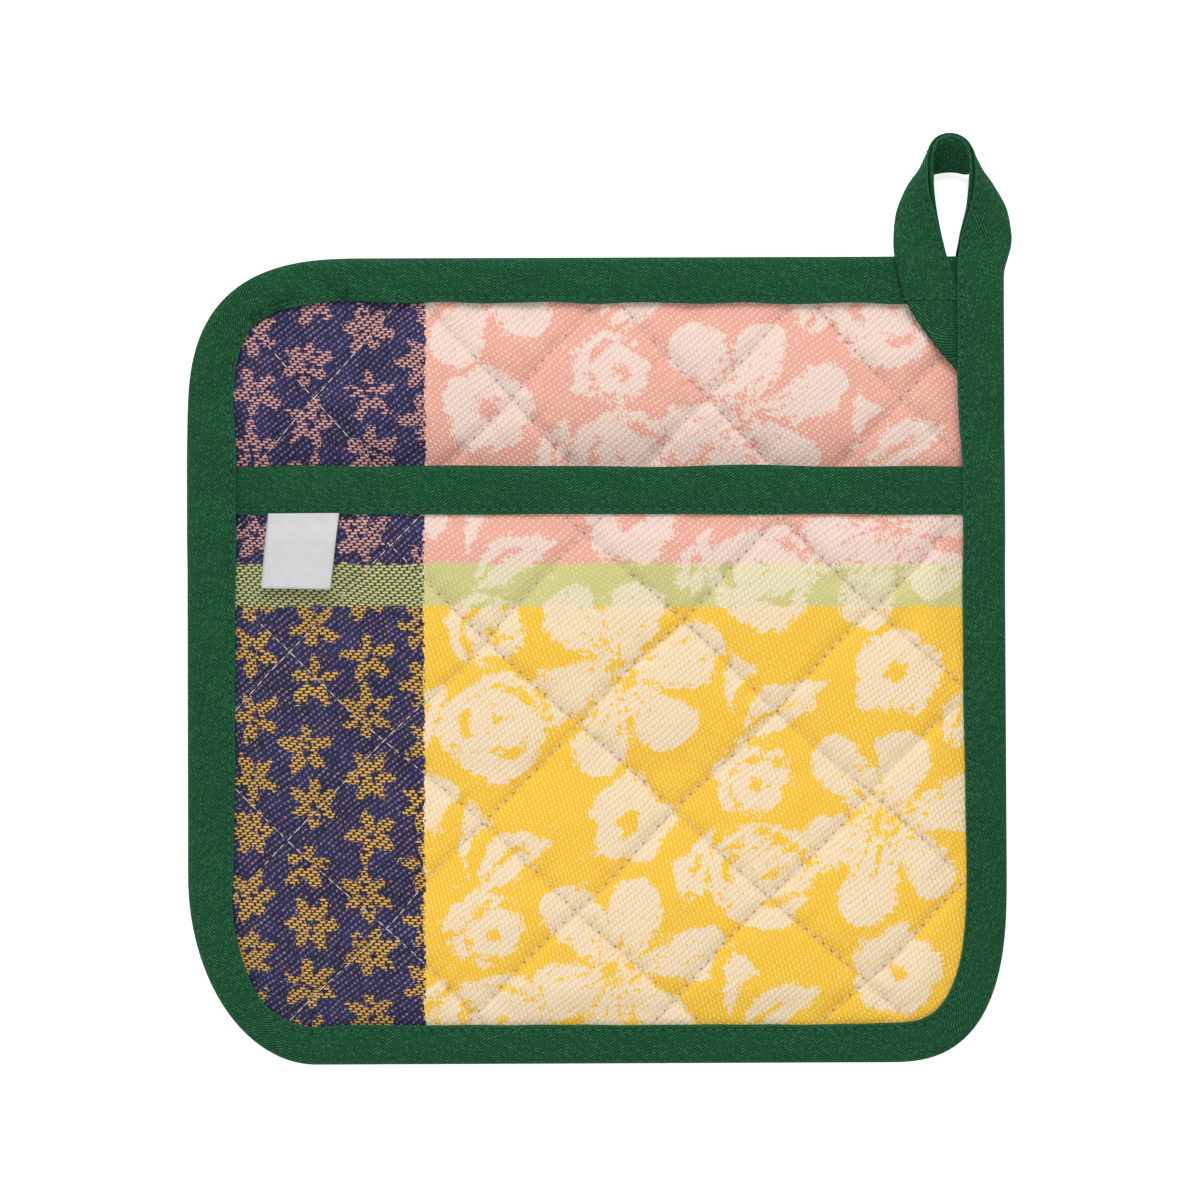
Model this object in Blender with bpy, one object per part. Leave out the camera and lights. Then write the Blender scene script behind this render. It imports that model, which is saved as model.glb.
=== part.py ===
"""A quilted pocket pot holder with a bound edge and a hanging loop, lying face up.

Metres, +Z up. The origin is the centre of the square pad on its underside, +Y runs to the edge
with the hanging loop and +X to the side that carries the loop. Sizes below are in millimetres.
"""
import math

import bmesh
import bpy
import numpy as np
from mathutils import Vector
from mathutils.geometry import delaunay_2d_cdt

MM = 0.001
GAP = 0.3                # air between neighbouring pieces

# Square pad: where the sides would meet, how far each corner's rounding reaches along both
# sides, its squareness (2 is an ellipse, a high number a square corner) and its steps.
CORNERS = [
    # x, y, reach_x, reach_y, squareness, steps
    (101.0, 100.7, 12.3, 12.3, 60.0, 2),      # square corner under the loop
    (-101.8, 100.2, 45.6, 43.0, 2.85, 8),
    (-101.6, -100.2, 32.0, 47.0, 2.0, 8),
    (101.8, -99.6, 30.0, 46.0, 2.7, 8),
]
SIDE_STEP = 8.5

# Binding tape, by the bearing from the pad's centre, anticlockwise from +X: its width on the
# face and its full height. It is higher where the pocket's band and the loop's end lie in it.
BINDING = [
    # bearing_deg, width, height
    (0.0, 10.8, 6.4), (12.0, 10.9, 6.4), (17.0, 10.9, 7.9), (26.0, 10.9, 7.9),
    (30.0, 11.6, 6.8), (33.5, 12.0, 7.6), (41.5, 12.0, 7.6), (44.5, 11.9, 4.7),
    (60.0, 11.7, 4.7), (90.0, 11.4, 4.7), (115.0, 11.2, 4.7), (135.0, 10.3, 4.7),
    (148.0, 11.6, 4.9), (153.5, 12.7, 7.9), (163.0, 12.6, 7.9), (168.0, 12.3, 6.4),
    (207.0, 11.8, 6.4), (217.0, 10.2, 6.4), (225.0, 8.8, 6.4), (238.0, 10.1, 6.4),
    (270.0, 9.9, 6.4), (300.0, 9.8, 6.4), (315.0, 10.4, 6.4), (330.0, 10.3, 6.4),
    (360.0, 10.8, 6.4),
]
TAPE = 1.1               # thickness of one leaf of the binding
RIM_INSET = 2.8          # from the outline to the cut edge of the panels inside the binding

# Back pad
PAD_RIM_BOTTOM = TAPE + GAP
PAD_RIM_TOP = 3.2
PAD_CROWN_OPEN = 2.2     # rise above the rim where the pad shows
PAD_CROWN_COVERED = 1.8  # rise above the rim under the pocket
PAD_GROOVE = 1.5         # depth of the quilting on the face
PAD_GROOVE_UNDER = 0.8   # depth of the quilting on the underside
OPEN_FROM = 52.0         # the pad stands a little fuller above this Y
OPEN_BLEND = 12.0

# Quilting: diamonds between two families of lines, as a crossing and the two cell sides.
PAD_LATTICE = ((27.2, 65.5), (24.4, -26.8), (24.4, 26.8))
POCKET_LATTICE = ((-4.0, -15.2), (23.5, -21.4), (24.5, 25.3))
FACE_STEPS = (0.0, 0.2, 0.4, 0.6, 0.8)      # points across one diamond on a face
UNDER_STEPS = (0.0, 0.14, 0.5, 0.86)        # points across one diamond on the underside
UNDER_GROOVE_HALF = 0.14
HIDDEN_STEPS = (0.0, 0.25, 0.5, 0.75)       # points across one diamond under the pocket

# Pocket
BAND_TOP = 48.2          # folded top edge of the pocket's binding
BAND_LOW = 36.3          # its sewn lower edge
BAND_LEAF = 1.0
BAND_AIR = 0.45          # between the panel and each leaf of the band
BAND_END_GAP = 0.4
POCKET_SHEET = 1.4       # thickness where the panel is sewn down
POCKET_CROWN = 0.7
POCKET_PUFF = 1.6
POCKET_REST = 0.3        # extra air over the pad's crowns
PANEL_TOP = BAND_TOP - BAND_LEAF - GAP
PANEL_LIFT = BAND_LEAF + BAND_AIR           # the panel lies on the band's back leaf
LIFT_START = 27.0
MOUTH_GAPE = 6.5         # the pocket's mouth stands open this far at its middle
MOUTH_HALF = 88.0
MOUTH_DEPTH = 75.0
COVERED_FADE = 30.0      # the covered part rises from the binding this slowly

# Hanging loop: folded tape from its end under the right-hand binding, over the top binding,
# round the hole and back to the pad's corner. Both edges are given, the stitched one first.
LOOP_TAPE = 1.8
LOOP = [
    # stitched x, y, z, outer x, y, z
    (91.9, 87.2, 4.4, 91.9, 68.7, 4.4),
    (90.0, 87.2, 4.8, 88.6, 72.7, 4.7),
    (88.5, 88.0, 5.4, 84.4, 77.4, 5.3),
    (88.3, 89.9, 6.0, 77.7, 86.8, 5.95),
    (87.9, 93.7, 5.95, 75.3, 92.5, 5.95),
    (86.7, 99.9, 5.95, 73.7, 99.9, 5.95),
    (85.3, 105.4, 6.5, 73.5, 105.4, 4.6),
    (83.6, 111.3, 8.0, 74.3, 111.3, 2.6),
    (82.3, 116.8, 10.0, 76.4, 116.3, 1.5),
    (81.95, 121.2, 11.2, 78.7, 119.5, 1.0),
    (82.1, 124.9, 11.0, 80.7, 120.6, 1.0),
    (83.2, 128.1, 9.6, 82.95, 121.0, 1.0),
    (85.05, 129.7, 8.8, 85.2, 121.45, 1.0),
    (87.3, 130.2, 8.6, 87.4, 121.7, 1.0),
    (89.5, 129.6, 8.8, 89.6, 121.6, 1.0),
    (91.2, 127.9, 9.6, 91.9, 121.2, 1.0),
    (92.35, 124.7, 11.0, 94.1, 121.5, 1.0),
    (92.5, 121.2, 11.2, 96.6, 120.3, 1.0),
    (92.35, 117.2, 10.0, 99.3, 117.0, 1.5),
    (91.7, 112.3, 7.6, 101.8, 112.5, 2.4),
    (90.2, 106.3, 5.4, 103.0, 106.3, 3.0),
    (89.6, 101.3, 3.9, 102.9, 101.3, 3.3),
]
LOOP_ROWS_BETWEEN = 2

# Sewn-in label, blank: its corners from the band down, and its lift at the lower edge.
LABEL_CORNERS = ((-81.2, 36.0), (-63.4, 36.0), (-65.4, 18.0), (-82.7, 18.2))
LABEL_SHEET = 1.0
LABEL_LIFT = 1.2
LABEL_STEPS = 4

COLOURS = {
    # base colour (linear), roughness
    "back_pad": ((0.85, 0.50, 0.40), 0.9),
    "pocket_panel": ((0.88, 0.56, 0.12), 0.9),
    "outer_binding": ((0.017, 0.083, 0.033), 0.85),
    "pocket_binding": ((0.017, 0.083, 0.033), 0.85),
    "hanging_loop": ((0.017, 0.083, 0.033), 0.85),
    "sewn_label": ((0.74, 0.74, 0.75), 0.8),
}


def smooth(t):
    """Ease from 0 to 1 as t goes from 0 to 1."""
    t = min(1.0, max(0.0, t))
    return t * t * (3.0 - 2.0 * t)


def clear_scene():
    for item in list(bpy.data.objects):
        bpy.data.objects.remove(item, do_unlink=True)


def fabric(name):
    """A matt cloth material in the piece's main colour."""
    colour, roughness = COLOURS[name]
    material = bpy.data.materials.new(name)
    material.use_nodes = True
    shader = material.node_tree.nodes["Principled BSDF"]
    shader.inputs["Base Color"].default_value = (*colour, 1.0)
    shader.inputs["Roughness"].default_value = roughness
    shader.inputs["Metallic"].default_value = 0.0
    material.diffuse_color = (*colour, 1.0)
    return material


def add_solid(name, points, faces):
    """Make one closed object from points in millimetres."""
    body = bmesh.new()
    verts = [body.verts.new(Vector(p) * MM) for p in points]
    for face in faces:
        body.faces.new([verts[i] for i in face])
    bmesh.ops.triangulate(body, faces=body.faces[:])
    bmesh.ops.recalc_face_normals(body, faces=body.faces[:])
    mesh = bpy.data.meshes.new(name)
    body.to_mesh(mesh)
    body.free()
    mesh.materials.append(fabric(name))
    mesh.shade_smooth()
    mesh.set_sharp_from_angle(angle=math.radians(40.0))
    item = bpy.data.objects.new(name, mesh)
    bpy.context.scene.collection.objects.link(item)
    return item


def corner_points(corner, sign_x, sign_y, clockwise):
    """Points round one corner of the pad, anticlockwise."""
    x, y, reach_x, reach_y, squareness, steps = corner
    power = 2.0 / squareness
    points = []
    for step in range(steps + 1):
        angle = 0.5 * math.pi * step / steps
        if clockwise:
            angle = 0.5 * math.pi - angle
        along_x = max(0.0, math.cos(angle)) ** power
        along_y = max(0.0, math.sin(angle)) ** power
        points.append((x - sign_x * reach_x * (1.0 - along_x),
                       y - sign_y * reach_y * (1.0 - along_y)))
    return points


def pad_outline():
    """The pad's outer line, anticlockwise from the square corner, in even steps."""
    signs = ((1, 1), (-1, 1), (-1, -1), (1, -1))
    turns = [corner_points(corner, sx, sy, sx * sy < 0)
             for corner, (sx, sy) in zip(CORNERS, signs)]
    outline = []
    for turn, following in zip(turns, turns[1:] + turns[:1]):
        outline += turn
        start, end = np.array(turn[-1]), np.array(following[0])
        count = max(1, round(float(np.linalg.norm(end - start)) / SIDE_STEP))
        outline += [tuple(start + (end - start) * k / count) for k in range(1, count)]
    return np.array(outline)


def inward_directions(outline):
    """Unit directions into the pad, stretched at the square corner so that offsets stay even."""
    before = outline - np.roll(outline, 1, axis=0)
    after = np.roll(outline, -1, axis=0) - outline
    normals = []
    for a, b in zip(before, after):
        left_a = np.array((-a[1], a[0])) / np.linalg.norm(a)
        left_b = np.array((-b[1], b[0])) / np.linalg.norm(b)
        mean = left_a + left_b
        mean /= np.linalg.norm(mean)
        normals.append(mean / max(0.5, float(mean @ left_a)))
    return np.array(normals)


def binding_sizes(outline):
    """Width and height of the binding at each station of the outline."""
    bearing = np.degrees(np.arctan2(outline[:, 1], outline[:, 0])) % 360.0
    table = np.array(BINDING)
    return (np.interp(bearing, table[:, 0], table[:, 1]),
            np.interp(bearing, table[:, 0], table[:, 2]))


OUTLINE = pad_outline()
INWARD = inward_directions(OUTLINE)
WIDTHS, HEIGHTS = binding_sizes(OUTLINE)
INNER_LINE = OUTLINE + INWARD * WIDTHS[:, None]
RIM = OUTLINE + INWARD * RIM_INSET


def inset(x, y):
    """Distance inside the binding's inner line, negative within the binding."""
    point = np.array((x, y))
    start = INNER_LINE
    edge = np.roll(INNER_LINE, -1, axis=0) - start
    along = np.clip(((point - start) * edge).sum(1) / (edge ** 2).sum(1), 0.0, 1.0)
    nearest = start + edge * along[:, None]
    distance = float(np.sqrt(((point - nearest) ** 2).sum(1)).min())
    crosses = (start[:, 1] > y) != ((start + edge)[:, 1] > y)
    rise = np.where(crosses, edge[:, 1], 1.0)
    hits = crosses & (x < start[:, 0] + (y - start[:, 1]) / rise * edge[:, 0])
    return distance if hits.sum() % 2 else -distance


def cell_position(lattice, x, y):
    """Position in diamonds, from a crossing, along the two cell sides."""
    (base_x, base_y), (ax, ay), (bx, by) = lattice
    area = ax * by - ay * bx
    dx, dy = x - base_x, y - base_y
    return (dx * by - dy * bx) / area, (ax * dy - ay * dx) / area


def puff(lattice, x, y):
    """0 on the quilting lines, 1 at the middle of a diamond."""
    u, v = cell_position(lattice, x, y)
    return abs(math.sin(math.pi * u) * math.sin(math.pi * v)) ** 0.6


def lattice_points(lattice, steps, keep):
    """Points that follow the diamonds, where keep(x, y) is true."""
    (base_x, base_y), (ax, ay), (bx, by) = lattice
    reach = range(-8, 8)
    points = []
    for u in [cell + step for cell in reach for step in steps]:
        for v in [cell + step for cell in reach for step in steps]:
            x, y = base_x + u * ax + v * bx, base_y + u * ay + v * by
            if keep(x, y):
                points.append((x, y))
    return points


def pad_top(x, y):
    depth = inset(x, y)
    covered = PAD_RIM_TOP + PAD_CROWN_COVERED * smooth(depth / COVERED_FADE)
    bare = PAD_RIM_TOP + PAD_CROWN_OPEN * smooth(depth / 14.0)
    blend = smooth((y - OPEN_FROM) / OPEN_BLEND)
    groove = PAD_GROOVE * (1.0 - puff(PAD_LATTICE, x, y)) * smooth(depth / 12.0)
    return covered * (1.0 - blend) + bare * blend - groove * (0.6 + 0.4 * blend)


def pad_bottom(x, y):
    """Flat on the surface below, drawn up at the quilting and at the binding."""
    u, v = cell_position(PAD_LATTICE, x, y)
    nearest = min(abs(u - round(u)), abs(v - round(v)))
    drawn = PAD_GROOVE_UNDER * max(0.0, 1.0 - nearest / UNDER_GROOVE_HALF)
    spread = smooth(inset(x, y) / 8.0)
    return drawn * spread + PAD_RIM_BOTTOM * (1.0 - spread)


def mouth_gape(x, y):
    across = max(0.0, 1.0 - (x / MOUTH_HALF) ** 2)
    down = max(0.0, 1.0 - (max(0.0, BAND_TOP - y) / MOUTH_DEPTH) ** 2)
    return MOUTH_GAPE * across * down


def pocket_base(x, y):
    """The lowest surface of the pocket, a little above the pad."""
    spread = smooth(inset(x, y) / COVERED_FADE)
    return (PAD_RIM_TOP + GAP + (PAD_CROWN_COVERED + POCKET_REST) * spread
            + mouth_gape(x, y))


def pocket_bottom(x, y):
    return pocket_base(x, y) + PANEL_LIFT * smooth((y - LIFT_START) / (BAND_LOW - LIFT_START))


def pocket_top(x, y):
    open_part = smooth(inset(x, y) / 10.0) * smooth((BAND_LOW - GAP - y) / 8.0)
    rise = POCKET_CROWN + POCKET_PUFF * puff(POCKET_LATTICE, x, y)
    return pocket_bottom(x, y) + POCKET_SHEET + rise * open_part


def net(rim, inner_points):
    """Triangles over the area inside rim, and where each rim point is in the result."""
    count = len(rim)
    points = [Vector(p) for p in list(rim) + list(inner_points)]
    verts, _, faces, origins, _, _ = delaunay_2d_cdt(
        points, [], [list(range(count))], 1, 1e-5)
    place = {}
    for index, sources in enumerate(origins):
        for source in sources:
            place[source] = index
    return [tuple(v) for v in verts], [list(f) for f in faces], [place[i] for i in range(count)]


def panel_solid(name, rim, top_points, bottom_points, top_z, bottom_z):
    """A sheet between two height functions, closed by a wall round its rim."""
    top, top_faces, top_rim = net(rim, top_points)
    low, low_faces, low_rim = net(rim, bottom_points)
    points = [(x, y, top_z(x, y)) for x, y in top]
    points += [(x, y, bottom_z(x, y)) for x, y in low]
    shift = len(top)
    faces = top_faces + [[i + shift for i in reversed(face)] for face in low_faces]
    count = len(rim)
    for i in range(count):
        j = (i + 1) % count
        faces.append([top_rim[i], low_rim[i] + shift, low_rim[j] + shift, top_rim[j]])
    return add_solid(name, points, faces)


def back_pad():
    inner = [tuple(p) for p in INNER_LINE]
    face = lattice_points(PAD_LATTICE, FACE_STEPS, lambda x, y: inset(x, y) > 3.0)
    under = lattice_points(PAD_LATTICE, UNDER_STEPS, lambda x, y: inset(x, y) > 3.0)
    return panel_solid("back_pad", RIM, inner + face, inner + under, pad_top, pad_bottom)


def pocket_rim():
    """The pad's rim below the pocket's top edge, closed by that edge, and its stations."""
    below = [i for i, p in enumerate(RIM) if p[1] < PANEL_TOP - 2.0]
    points = [tuple(RIM[i]) for i in below]
    left_x = float(np.interp(PANEL_TOP, *side_of_rim(-1)))
    right_x = float(np.interp(PANEL_TOP, *side_of_rim(1)))
    count = round((right_x - left_x) / SIDE_STEP)
    edge = [(right_x + (left_x - right_x) * k / count, PANEL_TOP) for k in range(count + 1)]
    return points + edge, below


def side_of_rim(sign):
    """Y and X of the rim on one side of the pad, by rising Y, for reading X at a height."""
    side = sorted((p[1], p[0]) for p in RIM if p[0] * sign > 60.0 and abs(p[1]) < 60.0)
    return [p[0] for p in side], [p[1] for p in side]


def pocket_panel():
    """The quilted pocket, from inside its band down to the binding."""
    rim, below = pocket_rim()
    inner = [tuple(INNER_LINE[i]) for i in below if INNER_LINE[i][1] < BAND_LOW - 2.0]
    left, right = -86.0, 86.0
    row = [(left + (right - left) * k / 21, BAND_LOW - GAP) for k in range(22)]
    start = [(left + (right - left) * k / 14, LIFT_START) for k in range(15)]

    def on_face(x, y):
        return inset(x, y) > 3.0 and y < BAND_LOW - 3.5

    def underneath(x, y):
        return inset(x, y) > 6.0 and y < LIFT_START - 5.0

    face = lattice_points(POCKET_LATTICE, FACE_STEPS, on_face)
    under = lattice_points(POCKET_LATTICE, HIDDEN_STEPS, underneath)
    return panel_solid("pocket_panel", rim, inner + row + face, inner + row + start + under,
                       pocket_top, pocket_bottom)


def swept_solid(name, sections, closed):
    """Join like sections into one solid, round a ring or with capped ends."""
    size = len(sections[0])
    points = [p for section in sections for p in section]
    faces = []
    count = len(sections)
    for i in range(count if closed else count - 1):
        this, following = i * size, (i + 1) % count * size
        for k in range(size):
            m = (k + 1) % size
            faces.append([this + k, this + m, following + m, following + k])
    if not closed:
        faces.append(list(range(size)))
        faces.append([(count - 1) * size + k for k in reversed(range(size))])
    return add_solid(name, points, faces)


def outer_binding():
    """Folded tape round the whole pad: two leaves and the fold between them."""
    sections = []
    for point, inward, width, height in zip(OUTLINE, INWARD, WIDTHS, HEIGHTS):
        profile = [
            # distance in from the outline, z
            (width, height - 0.3), (width - 1.2, height), (3.4, height), (1.2, height - 0.6),
            (0.1, height - 1.7), (0.1, 1.7), (1.2, 0.6), (3.4, 0.0), (width, 0.0),
            (width, TAPE), (2.3, TAPE), (1.4, TAPE + 0.6), (1.4, height - TAPE - 0.6),
            (2.3, height - TAPE), (width, height - TAPE),
        ]
        sections.append([(*(point + inward * depth), z) for depth, z in profile])
    return swept_solid("outer_binding", sections, closed=True)


def band_ends():
    """X of the band's two ends, just inside the binding's inner line."""
    y = 0.5 * (BAND_TOP + BAND_LOW)
    left = [p[0] for p in INNER_LINE if p[0] < -60.0 and abs(p[1] - y) < 2.0 * SIDE_STEP]
    right = [p[0] for p in INNER_LINE if p[0] > 60.0 and abs(p[1] - y) < 2.0 * SIDE_STEP]
    return max(left) + BAND_END_GAP, min(right) - BAND_END_GAP


def pocket_binding():
    """Folded tape over the pocket's top edge, with a leaf before and behind the panel."""
    left, right = band_ends()
    height = 2.0 * (BAND_LEAF + BAND_AIR) + POCKET_SHEET
    profile = [
        # y, z above the pocket's base
        (BAND_LOW, height - 0.2), (BAND_LOW + 0.8, height), (BAND_TOP - 1.2, height),
        (BAND_TOP - 0.2, height - 0.8), (BAND_TOP, 0.5 * height), (BAND_TOP - 0.2, 0.8),
        (BAND_TOP - 1.2, 0.0), (BAND_LOW, 0.0), (BAND_LOW, BAND_LEAF),
        (BAND_TOP - BAND_LEAF - 0.15, BAND_LEAF), (BAND_TOP - BAND_LEAF, 0.5 * height),
        (BAND_TOP - BAND_LEAF - 0.15, height - BAND_LEAF), (BAND_LOW, height - BAND_LEAF),
    ]
    count = 36
    sections = []
    for k in range(count + 1):
        x = left + (right - left) * k / count
        sections.append([(x, y, pocket_base(x, y) + z) for y, z in profile])
    return swept_solid("pocket_binding", sections, closed=False)


def spline_rows(rows, between):
    """A smooth curve through all the rows, with extra rows between them."""
    rows = np.array(rows)
    padded = np.vstack((2.0 * rows[0] - rows[1], rows, 2.0 * rows[-1] - rows[-2]))
    result = []
    for a, b, c, d in zip(padded, padded[1:], padded[2:], padded[3:]):
        for k in range(between):
            t = k / between
            result.append(0.5 * (2.0 * b + (c - a) * t + (2.0 * a - 5.0 * b + 4.0 * c - d) * t ** 2
                                 + (3.0 * b - a - 3.0 * c + d) * t ** 3))
    result.append(rows[-1])
    return np.array(result)


def hanging_loop():
    """Folded tape that turns on edge round the hole, wide and flat near the pad."""
    rows = spline_rows(LOOP, LOOP_ROWS_BETWEEN)
    middles = 0.5 * (rows[:, :3] + rows[:, 3:])
    sections = []
    for i, row in enumerate(rows):
        stitched, outer = row[:3], row[3:]
        along = middles[min(i + 1, len(rows) - 1)] - middles[max(i - 1, 0)]
        across = outer - stitched
        normal = np.cross(across, along)
        normal *= 0.5 * LOOP_TAPE / np.linalg.norm(normal)
        profile = [
            # fraction across the tape, fraction of the half thickness
            (0.0, 0.5), (0.08, 1.0), (0.92, 1.0), (1.0, 0.5),
            (1.0, -0.5), (0.92, -1.0), (0.08, -1.0), (0.0, -0.5),
        ]
        sections.append([tuple(stitched + across * f + normal * h) for f, h in profile])
    return swept_solid("hanging_loop", sections, closed=False)


def sewn_label():
    """A small flat label that leaves the band's lower edge and stands off the quilting."""
    corners = [np.array(corner) for corner in LABEL_CORNERS]
    size = LABEL_STEPS + 1
    grid = []
    for row in range(size):
        down = row / LABEL_STEPS
        left = corners[0] * (1.0 - down) + corners[3] * down
        right = corners[1] * (1.0 - down) + corners[2] * down
        grid.append([left + (right - left) * column / LABEL_STEPS for column in range(size)])
    points = []
    for layer in (LABEL_SHEET, 0.0):
        for row, line in enumerate(grid):
            lift = 2.0 * GAP + LABEL_LIFT * (row / LABEL_STEPS) ** 2
            for column, (x, y) in enumerate(line):
                near = [p for other in grid[max(0, row - 1):row + 2]
                        for p in other[max(0, column - 1):column + 2]]
                highest = max(pocket_top(*p) for p in near)
                points.append((x, y, highest + lift + layer))
    shift = size * size
    faces = []
    for row in range(LABEL_STEPS):
        for column in range(LABEL_STEPS):
            a = row * size + column
            face = [a, a + size, a + size + 1, a + 1]
            faces.append(face)
            faces.append([i + shift for i in reversed(face)])
    border = [c for c in range(size)]
    border += [r * size + LABEL_STEPS for r in range(1, size)]
    border += [LABEL_STEPS * size + c for c in reversed(range(LABEL_STEPS))]
    border += [r * size for r in reversed(range(1, LABEL_STEPS))]
    for a, b in zip(border, border[1:] + border[:1]):
        faces.append([a, b, b + shift, a + shift])
    return add_solid("sewn_label", points, faces)


clear_scene()
for make in (back_pad, pocket_panel, outer_binding, pocket_binding, hanging_loop, sewn_label):
    made = make()
    print(made.name, len(made.data.polygons), "triangles")
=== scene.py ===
# %% [markdown]
# # A quilted pocket pot holder
#
# The real thing is two quilted panels of figured cotton, a back pad and a shorter pocket, held
# together by one folded green tape that runs round the edge and goes on into the hanging loop.
# The frame gives every piece its place and size. This file replaces each plain solid by cloth
# that is modelled and woven finely enough to look at.

# %% Load the frame
import math
from types import SimpleNamespace

import bpy
import numpy as np
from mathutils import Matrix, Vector
from mathutils.bvhtree import BVHTree


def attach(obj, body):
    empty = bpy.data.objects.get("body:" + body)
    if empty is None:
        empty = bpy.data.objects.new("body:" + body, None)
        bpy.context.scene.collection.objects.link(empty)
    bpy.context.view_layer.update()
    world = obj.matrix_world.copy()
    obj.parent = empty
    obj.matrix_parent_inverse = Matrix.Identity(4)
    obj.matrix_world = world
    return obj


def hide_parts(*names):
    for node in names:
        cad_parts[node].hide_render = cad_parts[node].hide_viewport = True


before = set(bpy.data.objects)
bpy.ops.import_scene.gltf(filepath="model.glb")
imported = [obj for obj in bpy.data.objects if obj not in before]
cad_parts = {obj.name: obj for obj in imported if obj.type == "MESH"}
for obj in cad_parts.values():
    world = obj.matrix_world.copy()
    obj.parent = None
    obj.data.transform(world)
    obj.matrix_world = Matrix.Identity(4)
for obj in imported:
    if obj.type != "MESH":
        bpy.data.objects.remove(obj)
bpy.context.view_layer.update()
MM = 0.001

# %% [markdown]
# ## The photograph's view
#
# The pot holder lies on a white surface and is seen from straight above. A long lens from well
# away keeps the sides from leaning. The width of the view follows from the real size of the pad:
# 203 mm fill 820 of the picture's 1200 pixels.

# %% Camera
PAD_ACROSS = 203.0 * MM
PAD_PIXELS = 820
PHOTO_PIXELS = 1200
PIXEL = PAD_ACROSS / PAD_PIXELS
PAD_CENTRE_PIXEL = (597.0, 661.5)
LENS = 100.0
SENSOR = 36.0

view_width = PHOTO_PIXELS * PIXEL
view_centre = ((0.5 * PHOTO_PIXELS - PAD_CENTRE_PIXEL[0]) * PIXEL,
               (PAD_CENTRE_PIXEL[1] - 0.5 * PHOTO_PIXELS) * PIXEL)
camera_data = bpy.data.cameras.new("camera")
camera_data.lens = LENS
camera_data.sensor_width = SENSOR
camera_data.clip_start = 0.01
camera = bpy.data.objects.new("camera", camera_data)
camera.location = (*view_centre, view_width * LENS / SENSOR + 6.0 * MM)
bpy.context.scene.collection.objects.link(camera)
bpy.context.scene.camera = camera
bpy.context.scene.view_settings.view_transform = "Standard"
print("the view is", round(view_width / MM, 1), "mm wide")

# %% [markdown]
# ## Light and floor
#
# Soft studio light: a bright even sky, one large lamp beyond the loop's edge, and a weak one on
# the other side. The main lamp is at the top of the picture because the label's shadow falls
# towards its lower edge, the inside of the loop, which faces down the picture, is dark, and the
# quilted valleys are bright on the side that faces up. The floor glows faintly, like a light
# table, so it stays nearly white where the pot holder shades it.

# %% Light and floor
SKY_STRENGTH = 0.60
LAMPS = [
    # name, power in watts, size, place
    ("main_lamp", 9.6, 0.55, (0.06, 0.98, 0.86)),
    ("fill_lamp", 3.2, 0.80, (-0.40, -0.86, 0.72)),
]
FLOOR_SIZE = 3.0
FLOOR_GLOW = 0.60


def add_mesh(name, points, faces):
    """A mesh object at the origin, from points in metres."""
    mesh = bpy.data.meshes.new(name)
    mesh.from_pydata(points, [], faces)
    mesh.validate()
    mesh.shade_smooth()
    item = bpy.data.objects.new(name, mesh)
    bpy.context.scene.collection.objects.link(item)
    return item


world = bpy.data.worlds.new("studio")
bpy.context.scene.world = world
world.use_nodes = True
world.node_tree.nodes["Background"].inputs["Color"].default_value = (1.0, 1.0, 1.0, 1.0)
world.node_tree.nodes["Background"].inputs["Strength"].default_value = SKY_STRENGTH

aim = camera.location.copy()
aim.z = 0.0
for lamp_name, power, lamp_size, lamp_place in LAMPS:
    lamp_data = bpy.data.lights.new(lamp_name, "AREA")
    lamp_data.size = lamp_size
    lamp_data.energy = power
    lamp = bpy.data.objects.new(lamp_name, lamp_data)
    lamp.location = lamp_place
    lamp.rotation_euler = (aim - lamp.location).to_track_quat("-Z", "Y").to_euler()
    bpy.context.scene.collection.objects.link(lamp)

half = 0.5 * FLOOR_SIZE
floor = add_mesh("floor", [(-half, -half, 0), (half, -half, 0), (half, half, 0), (-half, half, 0)],
                 [(0, 1, 2, 3)])
print(len(LAMPS), "lamps, one sky and a floor of", FLOOR_SIZE, "m")

# %% [markdown]
# ## A short way to write materials
#
# Woven cloth is a matter of counting threads, so its materials are mostly arithmetic. A small
# class keeps that readable: `calc` adds a Math node and returns its output, `times`, `plus` and
# `minus` are short for the commonest of them, `blend` adds a colour mix, and a number or a socket
# may be given wherever a value is wanted.

# %% Material helper


def linear(red, green, blue):
    """A colour in linear light from its 0 to 255 values on screen."""
    parts = [c / 255.0 for c in (red, green, blue)]
    return tuple(c / 12.92 if c <= 0.04045 else ((c + 0.055) / 1.055) ** 2.4 for c in parts)


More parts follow.
